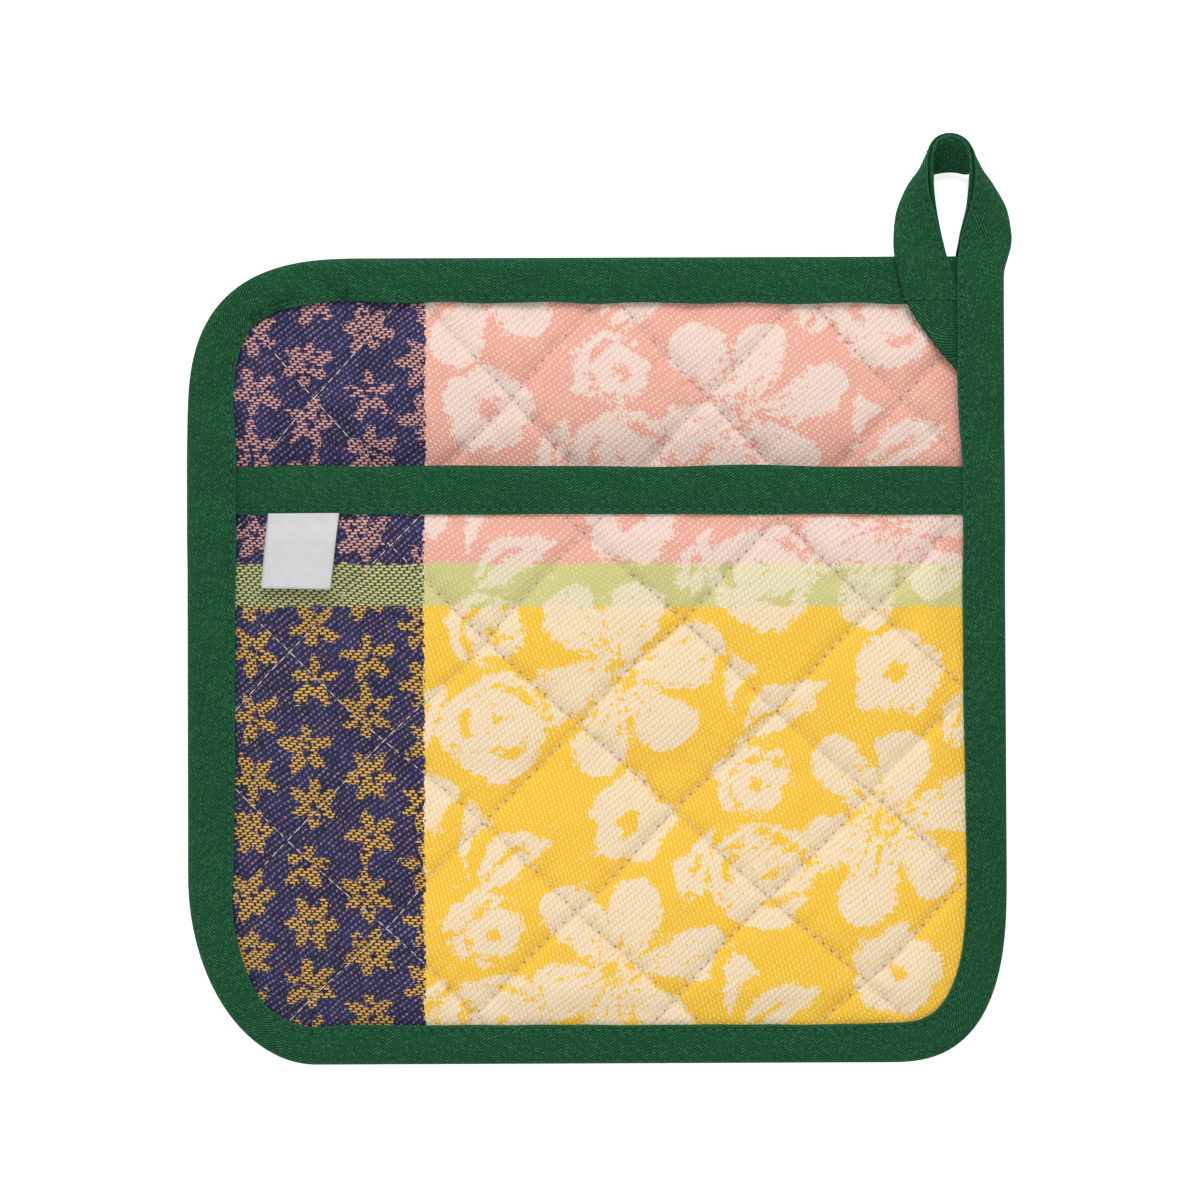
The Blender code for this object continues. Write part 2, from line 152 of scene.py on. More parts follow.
class Cloth:
    """A Principled material that is built up from small calculations."""

    def __init__(self, name, roughness, sheen):
        self.material = bpy.data.materials.new(name)
        self.material.use_nodes = True
        self.tree = self.material.node_tree
        self.shader = self.tree.nodes["Principled BSDF"]
        self.shader.inputs["Roughness"].default_value = roughness
        self.shader.inputs["Sheen Weight"].default_value = sheen
        self.shader.inputs["Sheen Roughness"].default_value = 0.6
        self.shader.inputs["Specular IOR Level"].default_value = 0.15

    def put(self, socket, value):
        if isinstance(value, bpy.types.NodeSocket):
            self.tree.links.new(value, socket)
        elif isinstance(value, tuple) and len(value) == 3 and len(socket.default_value) == 4:
            socket.default_value = (*value, 1.0)
        else:
            socket.default_value = value

    def calc(self, operation, *values):
        node = self.tree.nodes.new("ShaderNodeMath")
        node.operation = operation
        for socket, value in zip(node.inputs, values):
            self.put(socket, value)
        return node.outputs[0]

    def times(self, first, second):
        return self.calc("MULTIPLY", first, second)

    def plus(self, first, second):
        return self.calc("ADD", first, second)

    def minus(self, first, second):
        return self.calc("SUBTRACT", first, second)

    def rising(self, value, start, gain):
        """A start, and a value times a gain on top of it."""
        return self.plus(start, self.times(value, gain))

    def around(self, value, middle, gain):
        """How far a value is from a middle, times a gain."""
        return self.times(self.minus(value, middle), gain)

    def ramp(self, value, low, high):
        """0 below low, 1 above high and smooth between."""
        node = self.tree.nodes.new("ShaderNodeMapRange")
        node.interpolation_type = "SMOOTHSTEP"
        for socket, part in zip(node.inputs, (value, low, high, 0.0, 1.0)):
            self.put(socket, part)
        return node.outputs[0]

    def blend(self, amount, first, second):
        node = self.tree.nodes.new("ShaderNodeMix")
        node.data_type = "RGBA"
        self.put(node.inputs["Factor"], amount)
        self.put(node.inputs[6], first)
        self.put(node.inputs[7], second)
        return node.outputs[2]

    def attribute(self, name):
        node = self.tree.nodes.new("ShaderNodeAttribute")
        node.attribute_name = name
        return node.outputs["Fac"]

    def vector(self, x, y, z=0.0):
        node = self.tree.nodes.new("ShaderNodeCombineXYZ")
        for socket, value in zip(node.inputs, (x, y, z)):
            self.put(socket, value)
        return node.outputs[0]

    def place(self, output):
        """X, Y and Z in millimetres of the Object coordinates or the piece's UV map."""
        source = self.tree.nodes.new("ShaderNodeTexCoord")
        scale = self.tree.nodes.new("ShaderNodeVectorMath")
        scale.operation = "SCALE"
        scale.inputs["Scale"].default_value = 1.0 / MM
        split = self.tree.nodes.new("ShaderNodeSeparateXYZ")
        self.tree.links.new(source.outputs[output], scale.inputs[0])
        self.tree.links.new(scale.outputs[0], split.inputs[0])
        return split.outputs

    def noise(self, vector, scale, detail=2.0):
        node = self.tree.nodes.new("ShaderNodeTexNoise")
        self.put(node.inputs["Vector"], vector)
        node.inputs["Scale"].default_value = scale
        node.inputs["Detail"].default_value = detail
        return node.outputs["Fac"]

    def speckle(self, vector):
        """One random number for each whole-number cell."""
        node = self.tree.nodes.new("ShaderNodeTexWhiteNoise")
        self.put(node.inputs["Vector"], vector)
        return node.outputs["Value"]

    def finish(self, colour, height, depth):
        """Set the colour, and turn a height from 0 to 1 into relief of this depth."""
        self.put(self.shader.inputs["Base Color"], colour)
        bump = self.tree.nodes.new("ShaderNodeBump")
        bump.inputs["Distance"].default_value = depth
        self.put(bump.inputs["Height"], height)
        self.tree.links.new(bump.outputs[0], self.shader.inputs["Normal"])
        return self.material


backdrop = Cloth("white_backdrop", 0.9, 0.0)
backdrop_place = backdrop.place("Object")
backdrop_grain = backdrop.noise(backdrop.vector(backdrop_place[0], backdrop_place[1]), 0.05)
backdrop.shader.inputs["Emission Color"].default_value = (1.0, 1.0, 1.0, 1.0)
backdrop.shader.inputs["Emission Strength"].default_value = FLOOR_GLOW
floor.data.materials.append(backdrop.finish(
    backdrop.blend(backdrop_grain, (0.93, 0.93, 0.93), (0.95, 0.95, 0.95)), backdrop_grain, 0.00001))
print("the floor's material has", len(backdrop.tree.nodes), "nodes")

# %% [markdown]
# ## The outline and the binding's inner line
#
# The pad is a square with three rounded corners and a square one under the loop. Each corner is
# a quarter of a superellipse, which can be rounder or squarer than a circle. The binding is a
# tape of uneven width, so its inner line is the outline moved inwards by a width that is read
# from a short table by bearing. These are the sizes that the frame's own solids were made with.

# %% Outline
CORNERS = [
    # x, y, reach_x, reach_y, squareness, steps
    (101.0, 100.7, 12.3, 12.3, 60.0, 2),
    (-101.8, 100.2, 45.6, 43.0, 2.85, 90),
    (-101.6, -100.2, 32.0, 47.0, 2.0, 56),
    (101.8, -99.6, 30.0, 46.0, 2.7, 56),
]
BINDING = [
    # bearing_deg, width, height
    (0.0, 10.8, 6.4), (12.0, 10.9, 6.4), (17.0, 10.9, 7.9), (26.0, 10.9, 7.9),
    (30.0, 11.6, 6.8), (33.5, 12.0, 7.6), (41.5, 12.0, 7.6), (44.5, 11.9, 4.7),
    (60.0, 11.7, 4.7), (90.0, 11.4, 4.7), (115.0, 11.2, 4.7), (135.0, 10.3, 4.7),
    (148.0, 11.6, 4.9), (153.5, 12.7, 7.9), (163.0, 12.6, 7.9), (168.0, 12.3, 6.4),
    (207.0, 11.8, 6.4), (217.0, 10.2, 6.4), (225.0, 8.8, 6.4), (238.0, 10.1, 6.4),
    (270.0, 9.9, 6.4), (300.0, 9.8, 6.4), (315.0, 10.4, 6.4), (330.0, 10.3, 6.4),
    (360.0, 10.8, 6.4),
]
STATION = 1.2
RIM_INSET = 2.8


def smooth(t):
    """Ease from 0 to 1 as t goes from 0 to 1, for numbers and arrays."""
    t = np.clip(t, 0.0, 1.0)
    return t * t * (3.0 - 2.0 * t)


def wander(x, y, size, seed):
    """Gentle unevenness between about -1 and 1 that changes over this size in millimetres."""
    random = np.random.default_rng(seed)
    total = 0.0
    for _ in range(7):
        angle, phase = random.uniform(0.0, 2.0 * math.pi, 2)
        wave = 2.0 * math.pi / (size * random.uniform(0.7, 1.6))
        total = total + np.sin(wave * (x * math.cos(angle) + y * math.sin(angle)) + phase)
    return total / 3.5


def corner_points(corner, sign_x, sign_y):
    """Points round one corner, anticlockwise."""
    x, y, reach_x, reach_y, squareness, steps = corner
    angles = 0.5 * math.pi * np.arange(steps + 1) / steps
    if sign_x * sign_y < 0:
        angles = angles[::-1]
    along_x = np.abs(np.cos(angles)) ** (2.0 / squareness)
    along_y = np.abs(np.sin(angles)) ** (2.0 / squareness)
    return np.column_stack((x - sign_x * reach_x * (1.0 - along_x),
                            y - sign_y * reach_y * (1.0 - along_y)))


def pad_outline():
    """The pad's outer line, anticlockwise from the right side by the square corner."""
    turns = [corner_points(corner, sx, sy)
             for corner, (sx, sy) in zip(CORNERS, ((1, 1), (-1, 1), (-1, -1), (1, -1)))]
    parts = []
    for turn, following in zip(turns, turns[1:] + turns[:1]):
        length = np.linalg.norm(following[0] - turn[-1])
        count = max(2, round(length / STATION))
        fractions = (np.arange(1, count) / count)[:, None]
        parts += [turn, turn[-1] + (following[0] - turn[-1]) * fractions]
    return np.vstack(parts)


def inward_directions(line):
    """Directions into the pad, stretched at the square corner so that offsets stay even."""
    before = line - np.roll(line, 1, axis=0)
    after = np.roll(line, -1, axis=0) - line
    left = [np.column_stack((-d[:, 1], d[:, 0])) / np.linalg.norm(d, axis=1)[:, None]
            for d in (before, after)]
    mean = left[0] + left[1]
    mean /= np.linalg.norm(mean, axis=1)[:, None]
    return mean / np.maximum(0.5, (mean * left[0]).sum(1))[:, None]


outline = pad_outline()
inward = inward_directions(outline)
bearings = np.degrees(np.arctan2(outline[:, 1], outline[:, 0])) % 360.0
binding_table = np.array(BINDING)
widths = np.interp(bearings, binding_table[:, 0], binding_table[:, 1])
heights = np.interp(bearings, binding_table[:, 0], binding_table[:, 2])
inner_line = outline + inward * widths[:, None]
rim_line = outline + inward * RIM_INSET
print("outline of", len(outline), "points")

# %% [markdown]
# ## Distance from a line
#
# The cloth's height depends on how far a point is from the binding, so one function measures
# the distance of many points from a closed line at once, and gives it a minus sign outside.

# %% Distance


def depth_within(line, x, y):
    """Distance inside a closed line, negative outside, for arrays of points."""
    flat_x, flat_y = np.ravel(x), np.ravel(y)
    start = np.asarray(line)
    edge = np.roll(start, -1, axis=0) - start
    length = np.maximum(1e-9, (edge ** 2).sum(1))
    result = np.empty(len(flat_x))
    for first in range(0, len(flat_x), 4000):
        chunk = slice(first, first + 4000)
        dx = flat_x[chunk, None] - start[:, 0]
        dy = flat_y[chunk, None] - start[:, 1]
        along = np.clip((dx * edge[:, 0] + dy * edge[:, 1]) / length, 0.0, 1.0)
        gap = np.hypot(dx - along * edge[:, 0], dy - along * edge[:, 1]).min(1)
        crosses = (dy < 0.0) != (dy < edge[:, 1])
        slope = np.where(np.abs(edge[:, 1]) > 1e-9, edge[:, 0] / np.where(
            np.abs(edge[:, 1]) > 1e-9, edge[:, 1], 1.0), 0.0)
        hits = (crosses & (dx < dy * slope)).sum(1)
        result[chunk] = np.where(hits % 2 == 1, gap, -gap)
    return result.reshape(np.shape(x))


coarse_inner = inner_line[::4]


def inset(x, y):
    """Distance inside the binding's inner line."""
    return depth_within(coarse_inner, x, y)


print("at the centre the binding is", round(float(inset(np.zeros(1), np.zeros(1))[0]), 1), "mm away")

# %% [markdown]
# ## Quilting
#
# Both panels are sewn through wadding along two families of lines, which leaves diamonds. The
# lines were sewn freehand along chalk marks, so they wander a little. The nearer a point is to a
# line, the lower the cloth: a broad dome over each diamond, a narrow valley at the thread, a
# dimple at every needle hole, and small folds that run off the seam where it gathers the cloth.

# %% Quilted heights
PAD_LATTICE = ((27.2, 65.5), (24.4, -26.8), (24.4, 26.8))
POCKET_LATTICE = ((-4.0, -15.2), (23.5, -21.4), (24.5, 25.3))
LINE_WANDER = 0.7
WANDER_SIZE = 46.0
QUILT_STITCH = 2.8
VALLEY_DEPTH = 0.66
VALLEY_WIDTH = 1.6
DIMPLE_DEPTH = 0.34
DIMPLE_WIDTH = 1.1
FOLD_HEIGHT = 0.26
FOLD_SIZE = 4.6
FOLD_REACH_OUT = 5.0
LUMP_HEIGHT = 0.16
LUMPS_APART = 15.0


def sewn_shift(x, y, sign=1.0):
    """Where the wandering lines move a point to, or with sign -1 where they move it from."""
    return (x + sign * LINE_WANDER * wander(x, y, WANDER_SIZE, 3),
            y + sign * LINE_WANDER * wander(x, y, WANDER_SIZE, 4))


def cell_position(lattice, x, y):
    """Position in diamonds along the two cell sides."""
    (base_x, base_y), (ax, ay), (bx, by) = lattice
    area = ax * by - ay * bx
    dx, dy = x - base_x, y - base_y
    return (dx * by - dy * bx) / area, (ax * dy - ay * dx) / area


def nearest_seam(lattice, x, y):
    """Distance to the nearest quilting line, and how far along that line the point is."""
    _, (ax, ay), (bx, by) = lattice
    area = abs(ax * by - ay * bx)
    u, v = cell_position(lattice, *sewn_shift(x, y))
    gap_u = np.abs(u - np.round(u)) * area / math.hypot(bx, by)
    gap_v = np.abs(v - np.round(v)) * area / math.hypot(ax, ay)
    along = np.where(gap_u < gap_v, v * math.hypot(bx, by), u * math.hypot(ax, ay))
    return np.minimum(gap_u, gap_v), along


def puff(lattice, x, y):
    """0 on the quilting lines and 1 at the middle of a diamond."""
    u, v = cell_position(lattice, *sewn_shift(x, y))
    return np.abs(np.sin(math.pi * u) * np.sin(math.pi * v)) ** 0.55


def fine_relief(lattice, x, y):
    """Valley, dimples and gathered folds at the quilting lines, and faint lumps elsewhere."""
    gap, along = nearest_seam(lattice, x, y)
    valley = -VALLEY_DEPTH * np.exp(-(gap / VALLEY_WIDTH) ** 1.6)
    holes = 0.5 + 0.5 * np.cos(2.0 * math.pi * along / QUILT_STITCH)
    dimples = -DIMPLE_DEPTH * holes * np.exp(-(gap / DIMPLE_WIDTH) ** 2)
    side = x * 0.12 + y * 0.07
    folds = FOLD_HEIGHT * wander(along, side, FOLD_SIZE, 8) * np.exp(-(gap / FOLD_REACH_OUT) ** 2)
    return valley + dimples + folds + LUMP_HEIGHT * wander(x, y, LUMPS_APART, 9)


print("a seam's valley is", VALLEY_DEPTH, "mm deep, and its needle holes", DIMPLE_DEPTH, "mm more")

# %% [markdown]
# ## Heights of the two panels
#
# With the sewing described, each panel gets a lower and an upper surface as plain functions of
# place. The pad is flattest where the pocket presses on it and fuller where it is bare. The
# pocket stands away from the pad in the middle of its mouth, as it does when a hand has been in
# it, and comes down to the pad at both sides and further down.

# %% Panel heights
TAPE_LEAF = 1.1
PAD_RIM = (1.4, 3.2)
COVERED_RISE = (1.8, 30.0)   # how far the pad rises under the pocket, and over what distance
BARE_RISE = (2.2, 13.0)      # the same above the pocket
BARE_FROM = (52.0, 12.0)     # where the bare part starts, and over what distance it comes
PAD_DOME = 1.5
UNDER_DRAWN = 0.8
UNDER_LUMPS = 0.07
BAND_TOP = 48.2
BAND_LOW = 36.3
BAND_LEAF = 0.75
POCKET_SHEET = 1.4
POCKET_RISE = (2.1, 30.0)
POCKET_DOME = (0.7, 1.6)     # what the wadding adds at a seam, and at the middle of a diamond
GAPE = 6.5
GAPE_REACH = (88.0, 75.0)    # how far the gape reaches to each side, and down from the mouth
PANEL_TOP = BAND_TOP - 1.3
PANEL_LIFT = BAND_LEAF + 0.05
LIFT_FROM = 29.0             # from this Y up, the pocket rises onto the band's lower leaf


def risen(rise, depth):
    """How much of a rise is reached at this distance inside the binding."""
    height, reach = rise
    return height * smooth(depth / reach)


def sewn_in(depth):
    """0 under the binding and 1 a few millimetres inside it."""
    return smooth((depth + 1.0) / 5.0)


def pad_top(x, y):
    depth = inset(x, y)
    covered = PAD_RIM[1] + risen(COVERED_RISE, depth)
    bare = PAD_RIM[1] + risen(BARE_RISE, depth)
    open_part = smooth((y - BARE_FROM[0]) / BARE_FROM[1])
    domes = PAD_DOME * (1.0 - puff(PAD_LATTICE, x, y)) * smooth(depth / 12.0)
    fine = fine_relief(PAD_LATTICE, x, y) * sewn_in(depth) * smooth((y - 44.0) / 6.0)
    return covered * (1.0 - open_part) + bare * open_part - domes * (0.6 + 0.4 * open_part) + fine


def pad_bottom(x, y):
    depth = inset(x, y)
    gap, _ = nearest_seam(PAD_LATTICE, x, y)
    spread = smooth(depth / 8.0)
    drawn = UNDER_DRAWN * np.exp(-(gap / 2.6) ** 1.4) + UNDER_LUMPS * (1.6 + wander(x, y, 9.0, 12))
    return drawn * spread + PAD_RIM[0] * (1.0 - spread)


def pocket_base(x, y):
    """The pocket's lowest surface, above the pad and open at the mouth."""
    across = np.clip(1.0 - (x / GAPE_REACH[0]) ** 2, 0.0, None)
    down = np.clip(1.0 - (np.clip(BAND_TOP - y, 0.0, None) / GAPE_REACH[1]) ** 2, 0.0, None)
    return PAD_RIM[1] + 0.3 + risen(POCKET_RISE, inset(x, y)) + GAPE * across * down


def pocket_bottom(x, y):
    return pocket_base(x, y) + PANEL_LIFT * smooth((y - LIFT_FROM) / (BAND_LOW - LIFT_FROM))


def pocket_top(x, y, relief=True):
    depth = inset(x, y)
    open_part = smooth(depth / 10.0) * smooth((BAND_LOW - 0.2 - y) / 7.0)
    domes = puff(POCKET_LATTICE, x, y) if relief else 1.0
    rise = (POCKET_DOME[0] + POCKET_DOME[1] * domes) * open_part
    fine = 0.0
    if relief:
        fine = fine_relief(POCKET_LATTICE, x, y) * sewn_in(depth)
        fine = fine * smooth((BAND_LOW - 1.0 - y) / 4.0)
    return pocket_bottom(x, y) + POCKET_SHEET + rise + fine


print("crown of the pocket:", round(float(pocket_top(np.array([8.0]), np.array([30.0]))[0]), 1), "mm")

# %% [markdown]
# ## Generic blossoms for the figured weave
#
# The cloth is figured all over in cream, in large loose blossoms as if brushed on. The figures
# here are plain ones of our own, repeated in a half drop: open blooms with broad petals, round
# rosettes, brushed discs and leaves. On the navy stripe small blunt flowers stand in offset
# rows. Each shape is written as a distance: positive inside, in millimetres, negative outside.
# Distances survive a coarse mesh well, and the weave later decides thread by thread what lies
# inside.

# %% Figure shapes
FIGURE_REPEAT = (66.0, 74.0)
FIGURES = [
    # shape, x, y, size, turn_deg, petals
    ("bloom", 6.0, -3.0, 26.5, 14.0, 6),
    ("leaf", 38.0, -9.0, 12.5, 118.0, 0),
    ("leaf", -21.0, 26.0, 11.5, 32.0, 0),
    ("leaf", 24.0, 24.0, 9.0, 70.0, 0),
    ("disc", 41.0, 21.0, 13.0, 20.0, 0),
    ("rosette", 8.0, 34.5, 11.2, 10.0, 5),
    ("rosette", 38.0, -29.0, 9.6, 40.0, 6),
    ("rosette", -25.5, 7.0, 7.0, 25.0, 5),
]
FIGURE_WARP = 0.9        # how far the repeat is warped
WARP_SIZE = 17.0         # over what distance the warp changes
FIGURE_LIMIT = 130.0     # a figure centred beyond this X or Y is off the cloth
FIGURE_MARGIN = 1.2      # ground left bare round a figure that lies over another
STAR_PITCH = (14.6, 14.8)
STAR_SIZE = 6.9
STAR_SHIFT = 1.1


def turned(x, y, centre_x, centre_y, degrees):
    """Coordinates about a centre, along and across a direction."""
    angle = math.radians(degrees)
    dx, dy = x - centre_x, y - centre_y
    return (dx * math.cos(angle) + dy * math.sin(angle),
            dy * math.cos(angle) - dx * math.sin(angle))


def oval(along, across, centre, half_long, half_wide):
    """An oval whose middle is at this distance along its own direction."""
    reach = np.hypot((along - centre) / half_long, across / half_wide)
    return (1.0 - reach) * min(half_long, half_wide)


def bloom(along, across, size, petals):
    """Broad petals that narrow towards a small eye, with brush lines that fade outwards."""
    inside = np.full(np.shape(along), -20.0)
    for k in range(petals):
        reach = size * (1.0 - 0.13 * (k % 2))
        a, b = turned(along, across, 0.0, 0.0, 360.0 * k / petals + 5.0 * math.sin(2.4 * k))
        t = np.clip(a / reach, 0.0, 1.0)
        half_width = 0.36 * size * t ** 0.75 * np.clip(1.0 - t ** 5.0, 0.0, 1.0) ** 0.5
        petal = np.where((a > 0.0) & (a < reach), half_width - np.abs(b), -3.0)
        lines = np.sin(30.0 * b / (4.0 + np.abs(a)) + 1.3 * k)
        faded = 2.6 * (t - 0.42) + 1.1 * lines + 1.1
        inside = np.maximum(inside, np.minimum(petal, np.maximum(faded, -1.2)))
    radius = np.hypot(along, across)
    return np.minimum(inside, np.maximum(radius - 0.13 * size, 0.06 * size - radius))


def rosette(along, across, size, petals):
    """A round flower with a scalloped edge and a ragged eye."""
    radius = np.hypot(along, across)
    angle = np.arctan2(across, along)
    edge = size * (0.80 + 0.20 * np.abs(np.cos(0.5 * petals * angle)) ** 0.8)
    eye = 0.9 * (radius - 0.26 * size) + 0.3 * np.cos(petals * angle)
    return np.minimum(edge - radius, eye)


def disc(along, across, size, petals):
    """A round flower head brushed in arcs, without petals."""
    radius = np.hypot(along, across)
    angle = np.arctan2(across, along)
    swirl = radius / size * 9.0 + 1.2 * np.sin(2.0 * angle)
    arcs = 1.3 - 2.3 * np.clip(np.sin(swirl) * np.sin(1.5 * angle + 0.6), 0.0, 1.0)
    return np.minimum(size * (1.0 + 0.05 * np.sin(3.0 * angle)) - radius, arcs)


def leaf(along, across, size, petals):
    """A leaf, pointed at one end, with a slit for its midrib, and no petals either."""
    t = np.clip(along / size, -1.6, 1.6)
    blade = 0.44 * size * (1.0 - t ** 2) * (1.0 - 0.25 * t) - np.abs(across + 0.12 * size * t * t)
    slit = np.maximum(np.abs(across + 0.12 * size * t * t) - 0.8, along - 0.30 * size)
    return np.minimum(blade, slit)


SHAPES = {"bloom": bloom, "rosette": rosette, "disc": disc, "leaf": leaf}


def blossoms(x, y):
    """The cream figures over the whole cloth. A later one lies over the ones before it."""
    warped_x = x + FIGURE_WARP * wander(x, y, WARP_SIZE, 61)
    warped_y = y + FIGURE_WARP * wander(x, y, WARP_SIZE, 62)
    inside = np.full(np.shape(x), -20.0)
    for shape, fx, fy, size, turn, petals in FIGURES:
        for column in range(-3, 4):
            for row in range(-3, 4):
                centre_x = column * FIGURE_REPEAT[0] + fx
                centre_y = (row + 0.5 * (column % 2)) * FIGURE_REPEAT[1] + fy
                if max(abs(centre_x), abs(centre_y)) > FIGURE_LIMIT:
                    continue
                along, across = turned(warped_x, warped_y, centre_x, centre_y, turn)
                figure = SHAPES[shape](along, across, size, petals)
                apart = np.hypot(along, across) - size - FIGURE_MARGIN
                if shape != "bloom":
                    inside = np.minimum(inside, np.maximum(apart, -6.0 - 1.2 * figure))
                inside = np.maximum(inside, figure)
    return inside


def starlets(x, y):
    """Small blunt flowers in offset rows for the navy stripe."""
    random = np.random.default_rng(21)
    inside = np.full(np.shape(x), -20.0)
    for column in range(-8, -1):
        for row in range(-8, 9):
            cx, cy = column * STAR_PITCH[0], (row + 0.5 * (column % 2)) * STAR_PITCH[1]
            cx = 2.0 + cx + random.uniform(-STAR_SHIFT, STAR_SHIFT)
            cy = 1.5 + cy + random.uniform(-STAR_SHIFT, STAR_SHIFT)
            turn = random.uniform(0.0, 72.0)
            petals = int(random.integers(5, 7))
            for k in range(petals):
                reach = STAR_SIZE * random.uniform(0.84, 1.06)
                along, across = turned(x, y, cx, cy, turn + 360.0 * k / petals)
                inside = np.maximum(inside, oval(along, across, 0.56 * reach,
                                                 0.44 * reach, 0.22 * reach))
    return inside


print(len(FIGURES), "figures repeat every", FIGURE_REPEAT, "mm")

# %% [markdown]
# ## The woven panels
#
# Each panel is one closed sheet with a face and a back, on a fine square grid that is cut along
# its outline. The outline itself is hidden in the binding, and the grid's outermost points are
# moved onto it so that the edge is clean. Distances to the figures and to the nearest seam are
# stored on the points, where the material can read them.

# %% Panel builder


def snapped(line, x, y):
    """The nearest points on a closed line."""
    start = np.asarray(line)
    edge = np.roll(start, -1, axis=0) - start
    length = np.maximum(1e-9, (edge ** 2).sum(1))
    dx, dy = x[:, None] - start[:, 0], y[:, None] - start[:, 1]
    along = np.clip((dx * edge[:, 0] + dy * edge[:, 1]) / length, 0.0, 1.0)
    near_x, near_y = start[:, 0] + along * edge[:, 0], start[:, 1] + along * edge[:, 1]
    best = np.hypot(x[:, None] - near_x, y[:, None] - near_y).argmin(1)
    rows = np.arange(len(x))
    return near_x[rows, best], near_y[rows, best]


def cut_grid(line, step):
    """Points and squares of a grid inside a closed line, and the directed edges of its border."""
    low, high = line.min(0), line.max(0)
    xs = np.arange(low[0] - step, high[0] + 2.0 * step, step)
    ys = np.arange(low[1] - step, high[1] + 2.0 * step, step)
    grid_x, grid_y = np.meshgrid(xs, ys)
    inside = depth_within(line, grid_x, grid_y) > 0.3 * step
    whole = inside[:-1, :-1] & inside[1:, :-1] & inside[:-1, 1:] & inside[1:, 1:]
    number = np.arange(grid_x.size).reshape(grid_x.shape)
    squares = np.stack((number[:-1, :-1][whole], number[:-1, 1:][whole],
                        number[1:, 1:][whole], number[1:, :-1][whole]), axis=1)
    used, squares = np.unique(squares, return_inverse=True)
    squares = squares.reshape(-1, 4)
    x, y = grid_x.ravel()[used], grid_y.ravel()[used]
    edges = np.concatenate([squares[:, [k, (k + 1) % 4]] for k in range(4)])
    keys = np.sort(edges, axis=1)
    code = keys[:, 0] * len(used) + keys[:, 1]
    _, first, count = np.unique(code, return_index=True, return_counts=True)
    border = edges[first[count == 1]]
    rim = np.unique(border)
    x[rim], y[rim] = snapped(line, x[rim], y[rim])
    return x, y, squares, border


def quilted_panel(name, line, step, top, bottom, lattice, cut_from):
    """A closed quilted sheet, with its figures and seams stored as attributes."""
    x, y, squares, border = cut_grid(line, step)
    size = len(x)
    points = np.concatenate((np.column_stack((x, y, top(x, y))),
                             np.column_stack((x, y, bottom(x, y)))))
    walls = np.column_stack((border[:, 1], border[:, 0], border[:, 0] + size, border[:, 1] + size))
    faces = np.concatenate((squares, squares[:, ::-1] + size, walls))
    panel = add_mesh(name, (points * MM).tolist(), faces.tolist())
    for label, values in (("blossom", blossoms(x + cut_from[0], y + cut_from[1])),
                          ("starlet", starlets(x, y + cut_from[1])),
                          ("seam", nearest_seam(lattice, x, y)[0])):
        stored = panel.data.attributes.new(label, "FLOAT", "POINT")
        stored.data.foreach_set("value", np.tile(values, 2).astype(np.float32))
    print(name, len(faces) * 2, "triangles")
    return panel


def pocket_line():
    """The pocket's cut line: the pad's rim below the top edge, closed by that edge."""
    below = np.flatnonzero(rim_line[:, 1] < PANEL_TOP)
    turn = int(np.flatnonzero(np.diff(below) > 1)[0]) + 1 if (np.diff(below) > 1).any() else 0
    order = np.concatenate((below[turn:], below[:turn]))
    points = rim_line[order]
    corners = [(points[-1][0], PANEL_TOP), (points[0][0], PANEL_TOP)]
    return np.vstack((points, corners))


PANEL_STEP = 0.95
pad = quilted_panel("quilted_pad", rim_line, PANEL_STEP * 1.1, pad_top, pad_bottom, PAD_LATTICE,
                    (-31.0, 9.0))
pocket = quilted_panel("quilted_pocket", pocket_line(), PANEL_STEP, pocket_top, pocket_bottom,
                       POCKET_LATTICE, (0.0, 0.0))

# %% [markdown]
# ## The figured weave
#
# The cloth is a five-end satin: in every row each fifth thread comes up, and the next row starts
# two threads further along. Counted on the real cloth, five threads take 2.05 mm and a row
# 0.69 mm. The colours are those of the four grounds, of the cream that lies on each, and of the
# loose threads on the navy stripe.

# %% Weave sizes and colours
THREAD = 0.411
ROW = 0.686
ENDS = 5.0
ROW_STEP = 2.0
NAVY_EDGE = -42.6
LIME_TOP = 24.2
LIME_LOW = 13.6
PINK = linear(236, 166, 146)
CREAM_ON_PINK = linear(243, 221, 209)
YELLOW = linear(253, 205, 38)
YELLOW_DEEP = linear(248, 190, 25)
CREAM_ON_YELLOW = linear(249, 229, 195)
LIME = linear(206, 202, 128)
CREAM_ON_LIME = linear(236, 228, 192)
# painted shade for the gaps between the ribs
RIB_GAP_SHADE = linear(206, 158, 132)
NAVY = linear(46, 46, 90)
NAVY_DARK = linear(34, 33, 60)
NAVY_POINT = linear(138, 132, 172)
ROSE_FLOAT = linear(214, 158, 150)
OCHRE_FLOAT = linear(224, 174, 72)
LIME_FLOAT = linear(196, 200, 138)
LIME_SHADE = linear(70, 72, 48)
BLACK = (0.0, 0.0, 0.0)
print("five threads take", round(ENDS * THREAD, 2), "mm and a row", ROW, "mm")

# %% [markdown]
# ### Rows, runs and chance
#
# A material is asked about one place at a time, so it first works out which row the place is in,
# which run of five threads, and how far along the run. White noise on those whole numbers gives
# each thread and each run its own chance. Real cloth is never quite square, so a slow noise
# moves the place a little before anything is counted.

# %% Rows and runs
DRIFT = 3.2
DRIFT_SCALE = 0.045
BAND_RAGGED = 0.9


